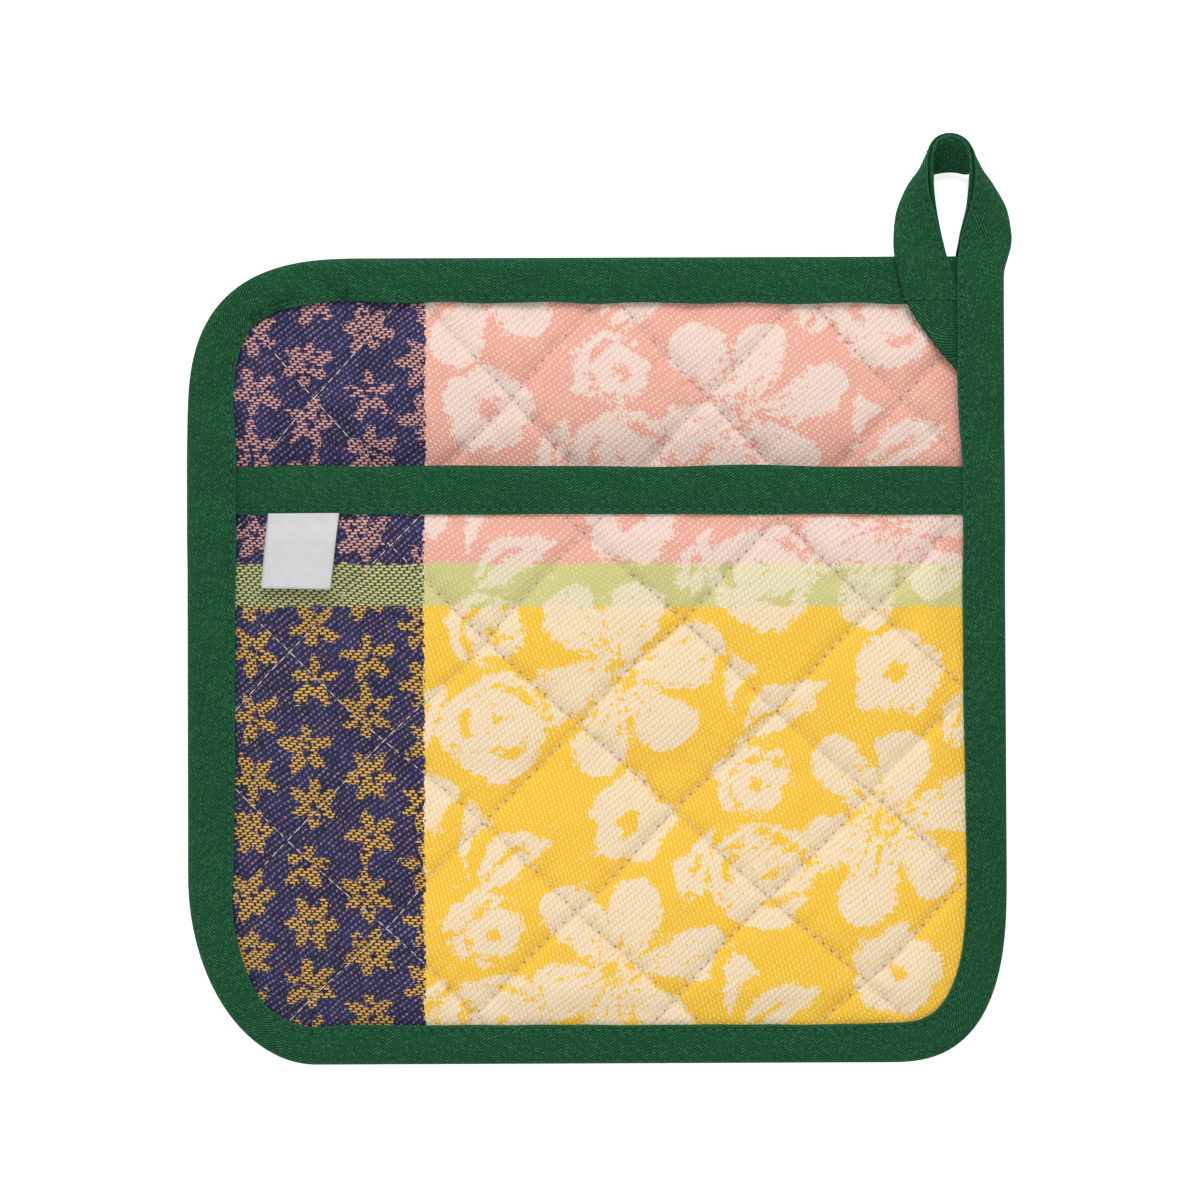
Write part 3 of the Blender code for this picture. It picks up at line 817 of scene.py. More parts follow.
def weave_places(cloth):
    """Row, run and chance for every place, and which colour band it is in."""
    calc, times, plus, minus = cloth.calc, cloth.times, cloth.plus, cloth.minus
    flat_x, flat_y, _ = cloth.place("Object")
    plain = cloth.vector(flat_x, flat_y)
    drift_x = cloth.noise(plain, DRIFT_SCALE)
    drift_y = cloth.noise(cloth.vector(flat_x, flat_y, 40.0), DRIFT_SCALE)
    x = plus(flat_x, cloth.around(drift_x, 0.5, DRIFT))
    y = plus(flat_y, cloth.around(drift_y, 0.5, DRIFT))

    row_place = calc("DIVIDE", y, ROW)
    row = calc("FLOOR", row_place)
    shifted = minus(calc("DIVIDE", x, THREAD), times(row, ROW_STEP))
    run = calc("FLOOR", calc("DIVIDE", shifted, ENDS))
    column = calc("FLOOR", calc("DIVIDE", x, THREAD))
    run_chance = cloth.speckle(cloth.vector(run, row, 7.0))
    band_y = plus(flat_y, cloth.around(run_chance, 0.5, BAND_RAGGED))
    return SimpleNamespace(
        flat_x=flat_x, flat_y=flat_y, x=x, y=y, row=row, run=run,
        in_row=minus(minus(row_place, row), 0.5),
        in_run=calc("FLOORED_MODULO", shifted, ENDS),
        chance=cloth.speckle(cloth.vector(column, row)),
        run_chance=run_chance,
        patches=cloth.noise(plain, 0.10),
        upper=calc("GREATER_THAN", band_y, LIME_TOP),
        lime=times(calc("GREATER_THAN", band_y, LIME_LOW), calc("LESS_THAN", band_y, LIME_TOP)))


def by_band(cloth, at, above, band, below):
    """One of three colours, above the lime band, on it or below it."""
    return cloth.blend(at.lime, cloth.blend(at.upper, below, above), band)


# %% [markdown]
# ### The points
#
# Where the fifth thread comes up it shows as a small slanted oval. The slant is given by the
# cosine and sine of its angle, and chance moves it along a little, so that the rows don't line up
# like print.

# %% Points
POINT_PLACE = 0.8
POINT_JITTER = 0.4
POINT_COSINE = 0.78
POINT_SINE = 0.63
POINT_LONG = 0.55
POINT_WIDE = 0.42


def slanted_point(cloth, at):
    """1 inside the oval of the fifth thread and 0 outside."""
    calc, times, plus, minus = cloth.calc, cloth.times, cloth.plus, cloth.minus
    centre = cloth.rising(at.run_chance, POINT_PLACE, POINT_JITTER)
    x = times(minus(at.in_run, centre), THREAD)
    y = times(at.in_row, ROW)
    along = calc("DIVIDE", plus(times(x, POINT_COSINE), times(y, POINT_SINE)), POINT_LONG)
    across = calc("DIVIDE", minus(times(y, POINT_COSINE), times(x, POINT_SINE)), POINT_WIDE)
    reach = calc("SQRT", plus(times(along, along), times(across, across)))
    return cloth.ramp(reach, 1.0, 0.45)


# %% [markdown]
# ### Brushed edges
#
# A figure's edge isn't a line. Upright streaks and broad patches are added to its distance, the
# result becomes a likelihood, and chance decides for each thread, for each run, and for each
# block of three rows whether the figure shows there.

# %% Brushed figures
STREAKS = (1.6, 0.45, 0.5)
BRUSH = 2.0
WORN = 1.5
EDGE_FROM = -1.9
EDGE_TO = 2.5
FAINT = 0.22


def brush_marks(cloth, at):
    """Upright streaks between about -1 and 1."""
    along_x, along_y, scale = STREAKS
    streaks = cloth.noise(cloth.vector(cloth.times(at.x, along_x), cloth.times(at.y, along_y)), scale)
    return cloth.around(streaks, 0.5, BRUSH)


def brushed_figures(cloth, at, brush):
    """1 on the threads that show a cream figure."""
    calc, times, plus, minus = cloth.calc, cloth.times, cloth.plus, cloth.minus
    worn = cloth.around(at.patches, 0.26, WORN)
    inside = plus(plus(cloth.attribute("blossom"), brush), worn)
    faint = cloth.ramp(cloth.noise(cloth.vector(at.flat_x, at.flat_y, 80.0), 0.055), 0.50, 0.68)
    solid = minus(0.96, times(faint, FAINT))
    likely = plus(times(cloth.ramp(inside, EDGE_FROM, EDGE_TO), solid),
                  cloth.rising(faint, 0.03, 0.06))
    block = calc("FLOOR", calc("DIVIDE", plus(at.row, times(at.run, 1.7)), 3.0))
    hatch = cloth.speckle(cloth.vector(at.run, block, 11.0))
    toss = plus(times(at.chance, 0.36), times(at.run_chance, 0.20))
    return calc("LESS_THAN", plus(toss, times(hatch, 0.44)), likely)


# %% [markdown]
# ### The light part
#
# On the coloured ground the points are cream. In a cream figure it is the other way round: the
# points have the ground's colour. Steep ribs, two in each run, cross both, and one cosine gives
# them. The gaps between the ribs are tinted darker, a painted shade between the threads.

# %% Light part
RIB_SLOPE = 0.20
RIB_SHIFT = 0.7


def steep_rib(cloth, at):
    """A wave between 0 and 1, two to a run of five and leaning a little."""
    phase = cloth.plus(cloth.times(at.x, 2.0 * math.pi * 2.0 / (ENDS * THREAD)),
                       cloth.times(at.y, 2.0 * math.pi * RIB_SLOPE / ROW))
    wave = cloth.calc("COSINE", cloth.plus(phase, RIB_SHIFT))
    return cloth.minus(0.5, cloth.times(wave, 0.5))


def light_part(cloth, at, point, rib, figured):
    times, blend, rising = cloth.times, cloth.blend, cloth.rising
    ground = by_band(cloth, at, PINK, LIME, blend(rib, YELLOW_DEEP, YELLOW))
    cream = by_band(cloth, at, CREAM_ON_PINK, CREAM_ON_LIME, CREAM_ON_YELLOW)
    pale = times(rising(at.chance, 0.20, 0.40), rising(at.upper, 1.0, 0.62))
    tinged = rising(at.run_chance, 0.08, 0.34)
    on_ground = blend(times(point, pale), ground, cream)
    on_figure = blend(times(point, tinged), cream, ground)
    # painted shade: the gaps between the ribs are tinted darker, more strongly in the cream figures
    gap = times(cloth.minus(1.0, rib), rising(figured, 0.08, 0.17))
    return blend(gap, blend(figured, on_ground, on_figure), RIB_GAP_SHADE)


# %% [markdown]
# ### The navy stripe
#
# Its flowers are floats: dashes four threads long with a dark gap at each end and between rows.
# Everywhere else a few paler points show, each as bright as chance makes it. The lime band
# crosses the stripe as floats without a gap in the pattern.

# %% Navy stripe


def navy_part(cloth, at, point, brush):
    """The stripe's colour, and its floats for the relief."""
    calc, times, plus, minus = cloth.calc, cloth.times, cloth.plus, cloth.minus
    ramp, blend = cloth.ramp, cloth.blend
    star = plus(cloth.attribute("starlet"), times(brush, 0.2))
    likely = times(ramp(star, -0.5, 0.45), 0.96)
    floated = calc("LESS_THAN", at.run_chance, calc("MAXIMUM", likely, at.lime))
    dash_length = ramp(calc("ABSOLUTE", minus(at.in_run, 3.1)), 1.95, 1.45)
    dash_width = ramp(calc("ABSOLUTE", at.in_row), 0.46, 0.26)
    dash = times(times(dash_length, dash_width), floated)
    float_colour = by_band(cloth, at, ROSE_FLOAT, LIME_FLOAT, OCHRE_FLOAT)
    tinted = blend(times(at.run_chance, 0.6), NAVY_POINT, float_colour)
    clouds = plus(times(at.patches, 0.7), times(at.chance, 0.3))
    deep = blend(ramp(clouds, 0.30, 0.68), NAVY_DARK, NAVY)
    deep = blend(calc("MAXIMUM", at.lime, times(floated, 0.5)), deep,
                 blend(at.lime, NAVY_DARK, LIME_SHADE))
    bare = times(times(point, minus(1.0, floated)), cloth.rising(at.chance, 0.04, 0.66))
    return blend(dash, blend(bare, deep, tinted), float_colour), dash


# %% [markdown]
# ### The whole cloth
#
# The stripe and the light part meet on a line that is ragged by a thread. Thick and thin places
# in the yarn change the tone, the colour is painted a little darker down in the seams as shade,
# and the same ribs, points and floats that give the colour are raised as relief.

# %% The whole cloth
STRIPE_RAGGED = 0.8
WEAVE_RELIEF = 0.00020


def figured_weave(name):
    cloth = Cloth(name, 0.92, 0.06)
    calc, times, plus, blend = cloth.calc, cloth.times, cloth.plus, cloth.blend
    at = weave_places(cloth)
    point = slanted_point(cloth, at)
    rib = steep_rib(cloth, at)
    brush = brush_marks(cloth, at)
    light = light_part(cloth, at, point, rib, brushed_figures(cloth, at, brush))
    dark, dash = navy_part(cloth, at, point, brush)
    edge = plus(at.flat_x, cloth.around(at.run_chance, 0.5, STRIPE_RAGGED))
    navy_side = calc("LESS_THAN", edge, NAVY_EDGE)
    colour = blend(navy_side, light, dark)

    slubs = cloth.noise(cloth.vector(times(at.x, 2.2), times(at.y, 0.25)), 1.0, 3.0)
    # painted shade: the colour is up to a tenth darker within 1.4 mm of a quilting seam
    painted_seam_shade = cloth.rising(cloth.ramp(cloth.attribute("seam"), 0.0, 1.4), 0.90, 0.10)
    colour = blend(times(cloth.rising(slubs, 0.93, 0.14), painted_seam_shade), BLACK, colour)
    raised = plus(times(rib, 0.35), times(point, 0.5))
    raised = plus(raised, times(slubs, 0.3))
    raised = plus(raised, times(times(dash, navy_side), 0.4))
    return cloth.finish(colour, raised, WEAVE_RELIEF)


figured_cotton = figured_weave("figured_cotton")
for panel, node, slot in ((pad, "back_pad", "pad_jacquard"),
                          (pocket, "pocket_panel", "pocket_jacquard")):
    panel.data.materials.append(figured_cotton)
    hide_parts(node)
    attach(panel, "root")
print("both panels are woven")

# %% [markdown]
# ## Folded tape
#
# Binding, band and loop are the same thing: a strip of twill with both edges turned in, folded
# along its middle over the cloth and sewn down. Its section is a narrow U: an upper leaf, the
# fold and a lower leaf. The section is swept along a path that gives, at every station, where
# the fold is, where the stitched edge is and how far apart the leaves stand.

# %% Tape section
STITCH_FROM_EDGE = 1.25
STITCH_SUNK = 0.26
FOLD_REACH = 2.6
UPPER_POINTS = 20
STITCHED_POINT = 4
LUMP_SIZE = 8.5
BEND_WINDOW = 15         # stations over which a bend is eased
FULL_BEND = 0.035        # a bend this sharp has all its gathers
GATHER_STEP = 6.4
GATHER_HEIGHT = 0.30
FLAT_BY_FOLD = 3.0
UNDER_SHARE = 0.25


def tape_section(width, height, leaf_thickness):
    """Points round the tape's section: distance from the fold, height above its middle."""
    top = 0.5 * height
    hem = width - STITCH_FROM_EDGE
    outer = [(width, top - 0.38), (width - 0.10, top - 0.12), (width - 0.40, top),
             (hem + 0.40, top - 0.05), (hem, top - STITCH_SUNK), (hem - 0.45, top - 0.06),
             (hem - 1.2, top + 0.10), (0.66 * width, top + 0.16), (0.45 * width, top + 0.10)]
    turn = [(FOLD_REACH * (1.0 - math.cos(a)), top * math.sin(a))
            for a in np.linspace(0.5 * math.pi, -0.5 * math.pi, 11)]
    under = [(0.42 * width, -top), (0.70 * width, -top), (hem - 0.4, -top), (hem, -top + 0.05),
             (width - 0.12, -top), (width, -top + 0.20)]
    hollow = max(0.03, top - leaf_thickness)
    inner_reach = FOLD_REACH - 0.6 * leaf_thickness
    back = [(width, -hollow)] + [
        (leaf_thickness + inner_reach * (1.0 - math.cos(a)), hollow * math.sin(a))
        for a in np.linspace(-0.5 * math.pi, 0.5 * math.pi, 5)] + [(width, hollow)]
    return np.array(outer + turn + under + back)


def turning(folds, edges):
    """How sharply the path bends at each station, from 0 to 1, eased along the path."""
    along = np.gradient(0.5 * (folds + edges), axis=0)
    along /= np.linalg.norm(along, axis=1)[:, None]
    bend = np.linalg.norm(np.gradient(along, axis=0), axis=1)
    window = np.hanning(BEND_WINDOW)
    eased = np.convolve(bend, window / window.sum(), mode="same")
    return np.clip(eased / FULL_BEND, 0.0, 1.0)


CREASES = [
    # x, y, direction_deg, length, width, depth, where the tape puckers at the round corners
    (-66.5, 92.5, -28.0, 8.5, 1.8, 1.20),
    (-80.5, 86.6, 30.0, 8.0, 1.7, 1.00),
    (-56.0, 94.8, -12.0, 7.0, 1.9, 0.60),
    (-91.5, 74.0, 98.0, 7.0, 1.8, 0.55),
    (-93.0, 20.0, 60.0, 6.0, 2.0, 0.45),
    (-72.0, -87.5, -25.0, 6.0, 1.7, 0.55),
    (20.0, 94.0, -50.0, 5.5, 2.0, 0.45),
    (62.0, -94.0, 35.0, 6.0, 1.9, 0.50),
    (92.5, -66.0, 70.0, 6.5, 1.8, 0.55),
    (94.0, 12.0, 115.0, 6.0, 2.0, 0.45),
]


def creases(x, y):
    """Soft troughs with a low ridge beside each."""
    total = np.zeros(np.shape(x))
    for crease_x, crease_y, direction, length, crease_width, depth in CREASES:
        along, across = turned(x, y, crease_x, crease_y, direction)
        fade = np.exp(-(along / length) ** 4)
        trough = np.exp(-(across / crease_width) ** 2)
        ridge = np.exp(-((across - 2.0 * crease_width) / (1.2 * crease_width)) ** 2)
        total = total + depth * fade * (0.6 * ridge - trough)
    return total


def unevenness(section, place, station):
    """How far each point of one section is off the even tape, and nothing on its inner faces."""
    inwards = section[:, 0]
    travelled = np.full(len(section), station.travel)
    ripple = station.lumps * wander(travelled, inwards * 1.6, LUMP_SIZE, 31)
    slant = station.travel + 0.55 * inwards
    gathered = np.sin(2.0 * math.pi * slant / GATHER_STEP + 1.6 * math.sin(station.travel / 6.0))
    ripple = ripple + GATHER_HEIGHT * station.bend * gathered * smooth(inwards / station.width)
    ripple = ripple + creases(place[:, 0], place[:, 1]) * station.sewn
    ripple = ripple * smooth(inwards / FLAT_BY_FOLD)
    ripple = np.where(np.arange(len(section)) < UPPER_POINTS, ripple, 0.0)
    return np.where(section[:, 1] > 0.0, ripple, -UNDER_SHARE * np.abs(ripple))


def tape_mesh(name, points, travel, spans):
    """Join the sections to a closed tape, with a UV map in metres along and across."""
    count, size, _ = points.shape
    number = np.arange(count * size).reshape(count, size)
    this, following = number[:-1], number[1:]
    faces = np.stack((this, np.roll(this, -1, 1), np.roll(following, -1, 1), following), axis=2)
    faces = faces.reshape(-1, 4)
    ends = [list(range(size))[::-1], list(range((count - 1) * size, count * size))]
    tape = add_mesh(name, (points.reshape(-1, 3) * MM).tolist(), faces[:, ::-1].tolist() + ends)
    uv = tape.data.uv_layers.new(name="tape")
    coordinates = np.zeros((len(tape.data.loops), 2), dtype=np.float32)
    loop_points = np.empty(len(tape.data.loops), dtype=np.int32)
    tape.data.loops.foreach_get("vertex_index", loop_points)
    coordinates[:, 0] = travel[loop_points // size] * MM
    coordinates[:, 1] = spans.reshape(-1)[loop_points] * MM
    uv.data.foreach_set("uv", coordinates.ravel())
    return tape


def sweep_tape(name, folds, edges, thicknesses, leaf_thickness, lumps, sewn_down):
    """Sweep the section along a path. Also return where its seam runs, above and below."""
    middle = 0.5 * (folds + edges)
    along = np.gradient(middle, axis=0)
    across = edges - folds
    width = np.linalg.norm(across, axis=1)
    across = across / width[:, None]
    normal = np.cross(along, across)
    normal /= np.linalg.norm(normal, axis=1)[:, None]
    travel = np.concatenate(([0.0], np.cumsum(np.linalg.norm(np.diff(middle, axis=0), axis=1))))
    bend = turning(folds, edges) * sewn_down
    lumpy = lumps * (0.3 + 0.7 * sewn_down)
    sections, spans = [], []
    for i in range(len(folds)):
        section = tape_section(width[i], thicknesses[i], leaf_thickness)
        step = np.linalg.norm(np.diff(section, axis=0), axis=1)
        spans.append(np.concatenate(([0.0], np.cumsum(step))))
        place = folds[i] + across[i] * section[:, :1]
        station = SimpleNamespace(travel=travel[i], width=width[i], bend=bend[i],
                                  lumps=lumpy[i], sewn=sewn_down[i])
        lift = section[:, 1] + unevenness(section, place, station)
        sections.append(place + normal[i] * lift[:, None])
    points = np.array(sections)
    tape = tape_mesh(name, points, travel, np.array(spans))
    sewn = points[:, STITCHED_POINT]
    sewn_under = folds + across * (width - STITCH_FROM_EDGE)[:, None]
    sewn_under = sewn_under - normal * (0.5 * thicknesses - 0.05)[:, None]
    print(name, round(float(travel[-1])), "mm long,", len(tape.data.polygons), "faces")
    return tape, sewn + normal * 0.10, sewn_under


def turn_outwards(tape):
    """Turn the faces round if the volume that they enclose comes out negative."""
    volume = 0.0
    points = np.empty(len(tape.data.vertices) * 3)
    tape.data.vertices.foreach_get("co", points)
    points = points.reshape(-1, 3)
    for face in tape.data.polygons:
        a, b, c = (points[i] for i in face.vertices[:3])
        volume += float(np.dot(a, np.cross(b, c)))
    if volume < 0.0:
        tape.data.flip_normals()
    return volume < 0.0


# %% [markdown]
# ## The binding and its loop
#
# The maker starts at the top right corner, under the place where the tape will end, sews round
# the pad anticlockwise, and at the corner lets the tape run on: it leaves the pad, turns on edge
# round the hole, comes back flat over the top binding, and its end is caught under the binding
# of the right side. So binding and loop are one strip here, as they are on the real thing.

# %% Binding and loop
LOOP = [
    # stitched x, y, z, fold x, y, z, thickness
    (89.0, 92.0, 3.8, 101.0, 92.0, 3.8, 7.5),
    (89.1, 96.5, 3.7, 101.1, 96.5, 3.7, 7.0),
    (89.3, 100.4, 3.5, 102.0, 100.0, 3.3, 5.9),
    (89.7, 103.0, 4.3, 102.8, 102.8, 3.1, 3.4),
    (90.2, 106.3, 5.4, 103.0, 106.3, 3.0, 2.4),
    (91.7, 112.3, 7.6, 101.8, 112.5, 2.4, 2.3),
    (92.35, 117.2, 10.0, 99.3, 117.0, 1.5, 2.3),
    (92.5, 121.2, 11.2, 96.6, 120.3, 1.2, 2.2),
    (92.35, 124.7, 11.0, 94.1, 121.5, 1.2, 2.0),
    (91.2, 127.9, 9.6, 91.9, 121.2, 1.0, 1.8),
    (89.5, 129.6, 8.8, 89.6, 121.6, 1.0, 1.8),
    (87.3, 130.2, 8.6, 87.4, 121.7, 1.0, 1.8),
    (85.05, 129.7, 8.8, 85.2, 121.45, 1.0, 1.8),
    (83.2, 128.1, 9.6, 82.95, 121.0, 1.0, 1.8),
    (82.1, 124.9, 11.0, 80.7, 120.6, 1.2, 2.0),
    (81.95, 121.2, 11.2, 78.7, 119.5, 1.2, 2.2),
    (82.3, 116.8, 10.0, 76.4, 116.3, 1.5, 2.3),
    (83.6, 111.3, 8.0, 74.3, 111.3, 2.6, 2.3),
    (85.3, 105.4, 6.5, 73.5, 105.4, 4.6, 2.1),
    (86.7, 99.9, 5.95, 73.7, 99.9, 5.95, 1.9),
    (88.9, 93.7, 5.80, 75.3, 92.5, 5.95, 1.7),
    (90.2, 89.9, 5.60, 77.7, 86.8, 5.75, 1.6),
    (90.9, 88.0, 5.20, 84.4, 77.4, 5.2, 1.5),
    (91.6, 87.2, 4.8, 88.6, 72.7, 4.7, 1.5),
    (92.4, 87.2, 4.4, 91.9, 68.7, 4.4, 1.5),
]
TUCK_END = 92.0          # the top strip starts under the right strip at this X
RIGHT_STRIP_END = 88.0   # above this Y the right strip follows the loop's table
ROWS_BETWEEN = 7
CROWN_ROW = 12           # from the loop's crown on, the tape is loose and has no gathers
TUCK_DROP = 1.5
TUCK_LIFT = 1.4
OFF_FLOOR = 0.15
BINDING_LUMPS = 0.26
EDGE_WAVE = 0.16
EDGE_WAVE_SIZE = 17.0


def spline_rows(rows, between):
    """A smooth curve through all the rows, with extra rows between them."""
    rows = np.array(rows)
    padded = np.vstack((2.0 * rows[0] - rows[1], rows, 2.0 * rows[-1] - rows[-2]))
    result = []
    for a, b, c, d in zip(padded, padded[1:], padded[2:], padded[3:]):
        for k in range(between):
            t = k / between
            result.append(0.5 * (2.0 * b + (c - a) * t + (2.0 * a - 5.0 * b + 4.0 * c - d) * t ** 2
                                 + (3.0 * b - a - 3.0 * c + d) * t ** 3))
    result.append(rows[-1])
    return np.array(result)


def binding_path():
    """Folds, stitched edges and thicknesses from the top right corner round to the loop's end."""
    top_side = (outline[:, 1] > 99.0) & (outline[:, 0] > 60.0)
    start = int(np.flatnonzero(top_side & (outline[:, 0] < TUCK_END))[0])
    order = [i % len(outline) for i in range(start, start + len(outline))]
    order = [i for i in order if not (outline[i, 0] > 60.0 and outline[i, 1] > RIGHT_STRIP_END)
             or (outline[i, 1] > 99.0 and outline[i, 0] < TUCK_END)]
    tuck = smooth((outline[order, 0] - 87.3) / 3.0) * (outline[order, 1] > 95.0)
    thick = heights[order] - OFF_FLOOR - TUCK_DROP * tuck
    level = OFF_FLOOR + 0.5 * thick + TUCK_LIFT * tuck
    edge_wave = EDGE_WAVE * wander(outline[order, 0], outline[order, 1], EDGE_WAVE_SIZE, 44)
    folds = np.column_stack((outline[order], level))
    edges = np.column_stack((outline[order] + inward[order] * (widths[order] + edge_wave)[:, None],
                             level))
    rows = spline_rows(LOOP, ROWS_BETWEEN)
    sewn_down = np.concatenate((np.ones(len(folds)), smooth((101.0 - rows[:, 4]) / 6.0)))
    sewn_down[len(folds) + CROWN_ROW * ROWS_BETWEEN:] = 0.0
    return (np.vstack((folds, rows[:, 3:6])), np.vstack((edges, rows[:, 0:3])),
            np.concatenate((thick, rows[:, 6])), sewn_down)


folds, edges, thicknesses, sewn_down = binding_path()
binding, binding_seam, binding_seam_under = sweep_tape(
    "binding_and_loop", folds, edges, thicknesses, TAPE_LEAF * 0.8, BINDING_LUMPS, sewn_down)
print("the binding's faces were turned round:", turn_outwards(binding))

# %% [markdown]
# ## The pocket's band
#
# The same tape covers the pocket's top edge. It follows the pocket's gape, high in the middle
# and pressed flat where its two ends run under the outer binding.

# %% Band
BAND_REACH = 92.0
BAND_LUMPS = 0.14
BAND_THICK = 2.0 * BAND_LEAF + 0.1 + POCKET_SHEET


def band_path():
    x = np.linspace(BAND_REACH, -BAND_REACH, 185)
    top = np.full_like(x, BAND_TOP) + 0.22 * wander(x, x * 0.0, 37.0, 51)
    low = np.full_like(x, BAND_LOW) + 0.20 * wander(x, x * 0.0 + 9.0, 29.0, 52)
    folds = np.column_stack((x, top, pocket_base(x, top) + 0.5 * BAND_THICK))
    edges = np.column_stack((x, low, pocket_base(x, low) + 0.5 * BAND_THICK))
    return folds, edges, np.full(len(x), BAND_THICK)


folds, edges, thicknesses = band_path()
band, band_seam, _ = sweep_tape("pocket_band", folds, edges, thicknesses, BAND_LEAF, BAND_LUMPS,
                                np.ones(len(folds)))
print("the band's faces were turned round:", turn_outwards(band))

# %% [markdown]
# ## Twill for the tape
#
# The tape is a fine cotton twill in deep green. Counted on the real tape, the pattern repeats
# every 1.0 mm along it and every 0.75 mm across it, which makes thin pale ribs on a slant. They
# follow the tape round the corners, so the material reads the tape's own UV map. The brightness
# of a rib changes along it, as the yarn does.

# %% Twill
TWILL_ALONG = 1.02
TWILL_ACROSS = 0.75
KNOT_STEP = 0.37
TWILL_RELIEF = 0.00012
GREEN_DEEP = linear(17, 68, 39)
GREEN = linear(36, 85, 55)
GREEN_PALE = linear(72, 124, 92)
# painted highlight for the rounded edge of the hem
HEM_HIGHLIGHT_TEAL = linear(36, 112, 84)


def twill(name):
    cloth = Cloth(name, 0.92, 0.0)
    cloth.shader.inputs["Specular IOR Level"].default_value = 0.06
    calc, times, plus, minus = cloth.calc, cloth.times, cloth.plus, cloth.minus
    ramp, blend = cloth.ramp, cloth.blend
    u, v, _ = cloth.place("UV")
    wobble = times(cloth.noise(cloth.vector(u, v), 0.25), 0.8)
    count = plus(plus(calc("DIVIDE", u, TWILL_ALONG), calc("DIVIDE", v, TWILL_ACROSS)), wobble)
    rib_number = calc("FLOOR", count)
    rib = minus(0.5, times(calc("COSINE", times(count, 2.0 * math.pi)), 0.5))
    ridge = calc("POWER", rib, 2.0)
    yarn = cloth.noise(cloth.vector(times(minus(u, v), 0.8), rib_number), 1.0)
    bright = ramp(yarn, 0.44, 0.64)
    patches = cloth.noise(cloth.vector(u, v, 3.0), 0.09, 3.0)
    broad = cloth.noise(cloth.vector(u, v, 9.0), 0.035)
    knots = cloth.speckle(cloth.vector(rib_number, calc("FLOOR", calc("DIVIDE", v, KNOT_STEP))))
    body = blend(ridge, GREEN_DEEP, GREEN)
    body = blend(times(times(ridge, bright), 0.75), body, GREEN_PALE)
    body = blend(times(calc("GREATER_THAN", knots, 0.90), times(rib, 0.50)), body, GREEN_PALE)
    # painted highlight: the first half millimetre of the hem's rounded edge is blended towards teal
    body = blend(times(ramp(v, 0.75, 0.25), 0.45), body, HEM_HIGHLIGHT_TEAL)
    tone = calc("MINIMUM", 1.06, cloth.rising(plus(patches, broad), 0.62, 0.38))
    relief = plus(times(rib, 0.7), times(knots, 0.3))
    return cloth.finish(blend(tone, BLACK, body), relief, TWILL_RELIEF)


green_twill = twill("green_twill")
for tape in (binding, band):
    tape.data.materials.append(green_twill)
    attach(tape, "root")
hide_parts("outer_binding", "hanging_loop")
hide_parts("pocket_binding")
print("the tape is finished in twill")

# %% [markdown]
# ## The label
#
# A strip of white ribbon, folded in half and caught under the band. It is left blank. The fold
# at its lower edge stands a little off the quilting and throws a small shadow. It is modelled
# as one thin sheet that goes down, turns and comes back up behind, then gets its thickness.

# %% Label
LABEL = [
    # upper and lower end of each side: x_top, y_top, x_low, y_low
    (-81.2, 36.6, -82.8, 18.2),
    (-63.4, 36.6, -65.4, 17.9),
]
LABEL_FOLD = 0.42
LABEL_SHEET = 0.28
LABEL_RISE = 1.25
LABEL_TWIST = 0.22
LABEL_TURN = 0.96        # how far down the two layers start to close
RIBBON_RIB = 0.42
RIBBON_WARP = 0.30
RIBBON_RELIEF = 0.00006


def label_mesh():
    down = np.concatenate((np.linspace(0.0, 0.975, 26), np.linspace(0.985, 1.0, 3)))
    across = np.linspace(0.0, 1.0, 22)
    (xa, ya, xb, yb), (xc, yc, xd, yd) = LABEL

    def layer(height):
        rows = []
        for d in down if height > 0 else down[::-1]:
            x = (xa + (xb - xa) * d) * (1.0 - across) + (xc + (xd - xc) * d) * across
            y = (ya + (yb - ya) * d) * (1.0 - across) + (yc + (yd - yc) * d) * across
            curl = LABEL_RISE * d ** 2.2 + LABEL_TWIST * math.sin(2.6 * d) * (across - 0.5)
            bed = pocket_top(x, y, relief=False) + 0.10 + LABEL_SHEET + curl
            turned_in = max(0.0, (d - LABEL_TURN) / 0.04)
            close = math.sqrt(max(0.0, 1.0 - turned_in ** 2))
            rows.append(np.column_stack((x, y, bed + LABEL_FOLD + height * LABEL_FOLD * close)))
        return rows

    rows = np.array(layer(1.0) + layer(-1.0)[1:])
    count, size, _ = rows.shape
    number = np.arange(count * size).reshape(count, size)
    faces = np.stack((number[:-1, :-1], number[1:, :-1], number[1:, 1:], number[:-1, 1:]), axis=2)
    sheet = add_mesh("blank_label", (rows.reshape(-1, 3) * MM).tolist(),
                     faces.reshape(-1, 4).tolist())
    thicken = sheet.modifiers.new("thickness", "SOLIDIFY")
    thicken.thickness = LABEL_SHEET * MM
    thicken.offset = 0.0
    return sheet


def made_plain(item):
    """Turn an object's modifiers into plain mesh."""
    graph = bpy.context.evaluated_depsgraph_get()
    mesh = bpy.data.meshes.new_from_object(item.evaluated_get(graph))
    item.modifiers.clear()
    item.data = mesh
    return item


def ribbon():
    """Plain ribbon: fine ribs across it and finer threads along it."""
    cloth = Cloth("white_ribbon", 0.55, 0.05)
    calc, times = cloth.calc, cloth.times
    x, y, _ = cloth.place("Object")
    rib = calc("ABSOLUTE", calc("SINE", times(y, math.pi / RIBBON_RIB)))
    warp = calc("ABSOLUTE", calc("SINE", times(x, math.pi / RIBBON_WARP)))
    grain = cloth.noise(cloth.vector(x, y), 0.35, 3.0)
    colour = cloth.blend(times(rib, grain), linear(198, 198, 200), linear(221, 221, 222))
    return cloth.finish(colour, times(cloth.plus(rib, warp), 0.5), RIBBON_RELIEF)


label = made_plain(label_mesh())
label.data.materials.clear()
label.data.materials.append(ribbon())
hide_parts("sewn_label")
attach(label, "root")
print("label:", len(label.data.polygons), "faces")
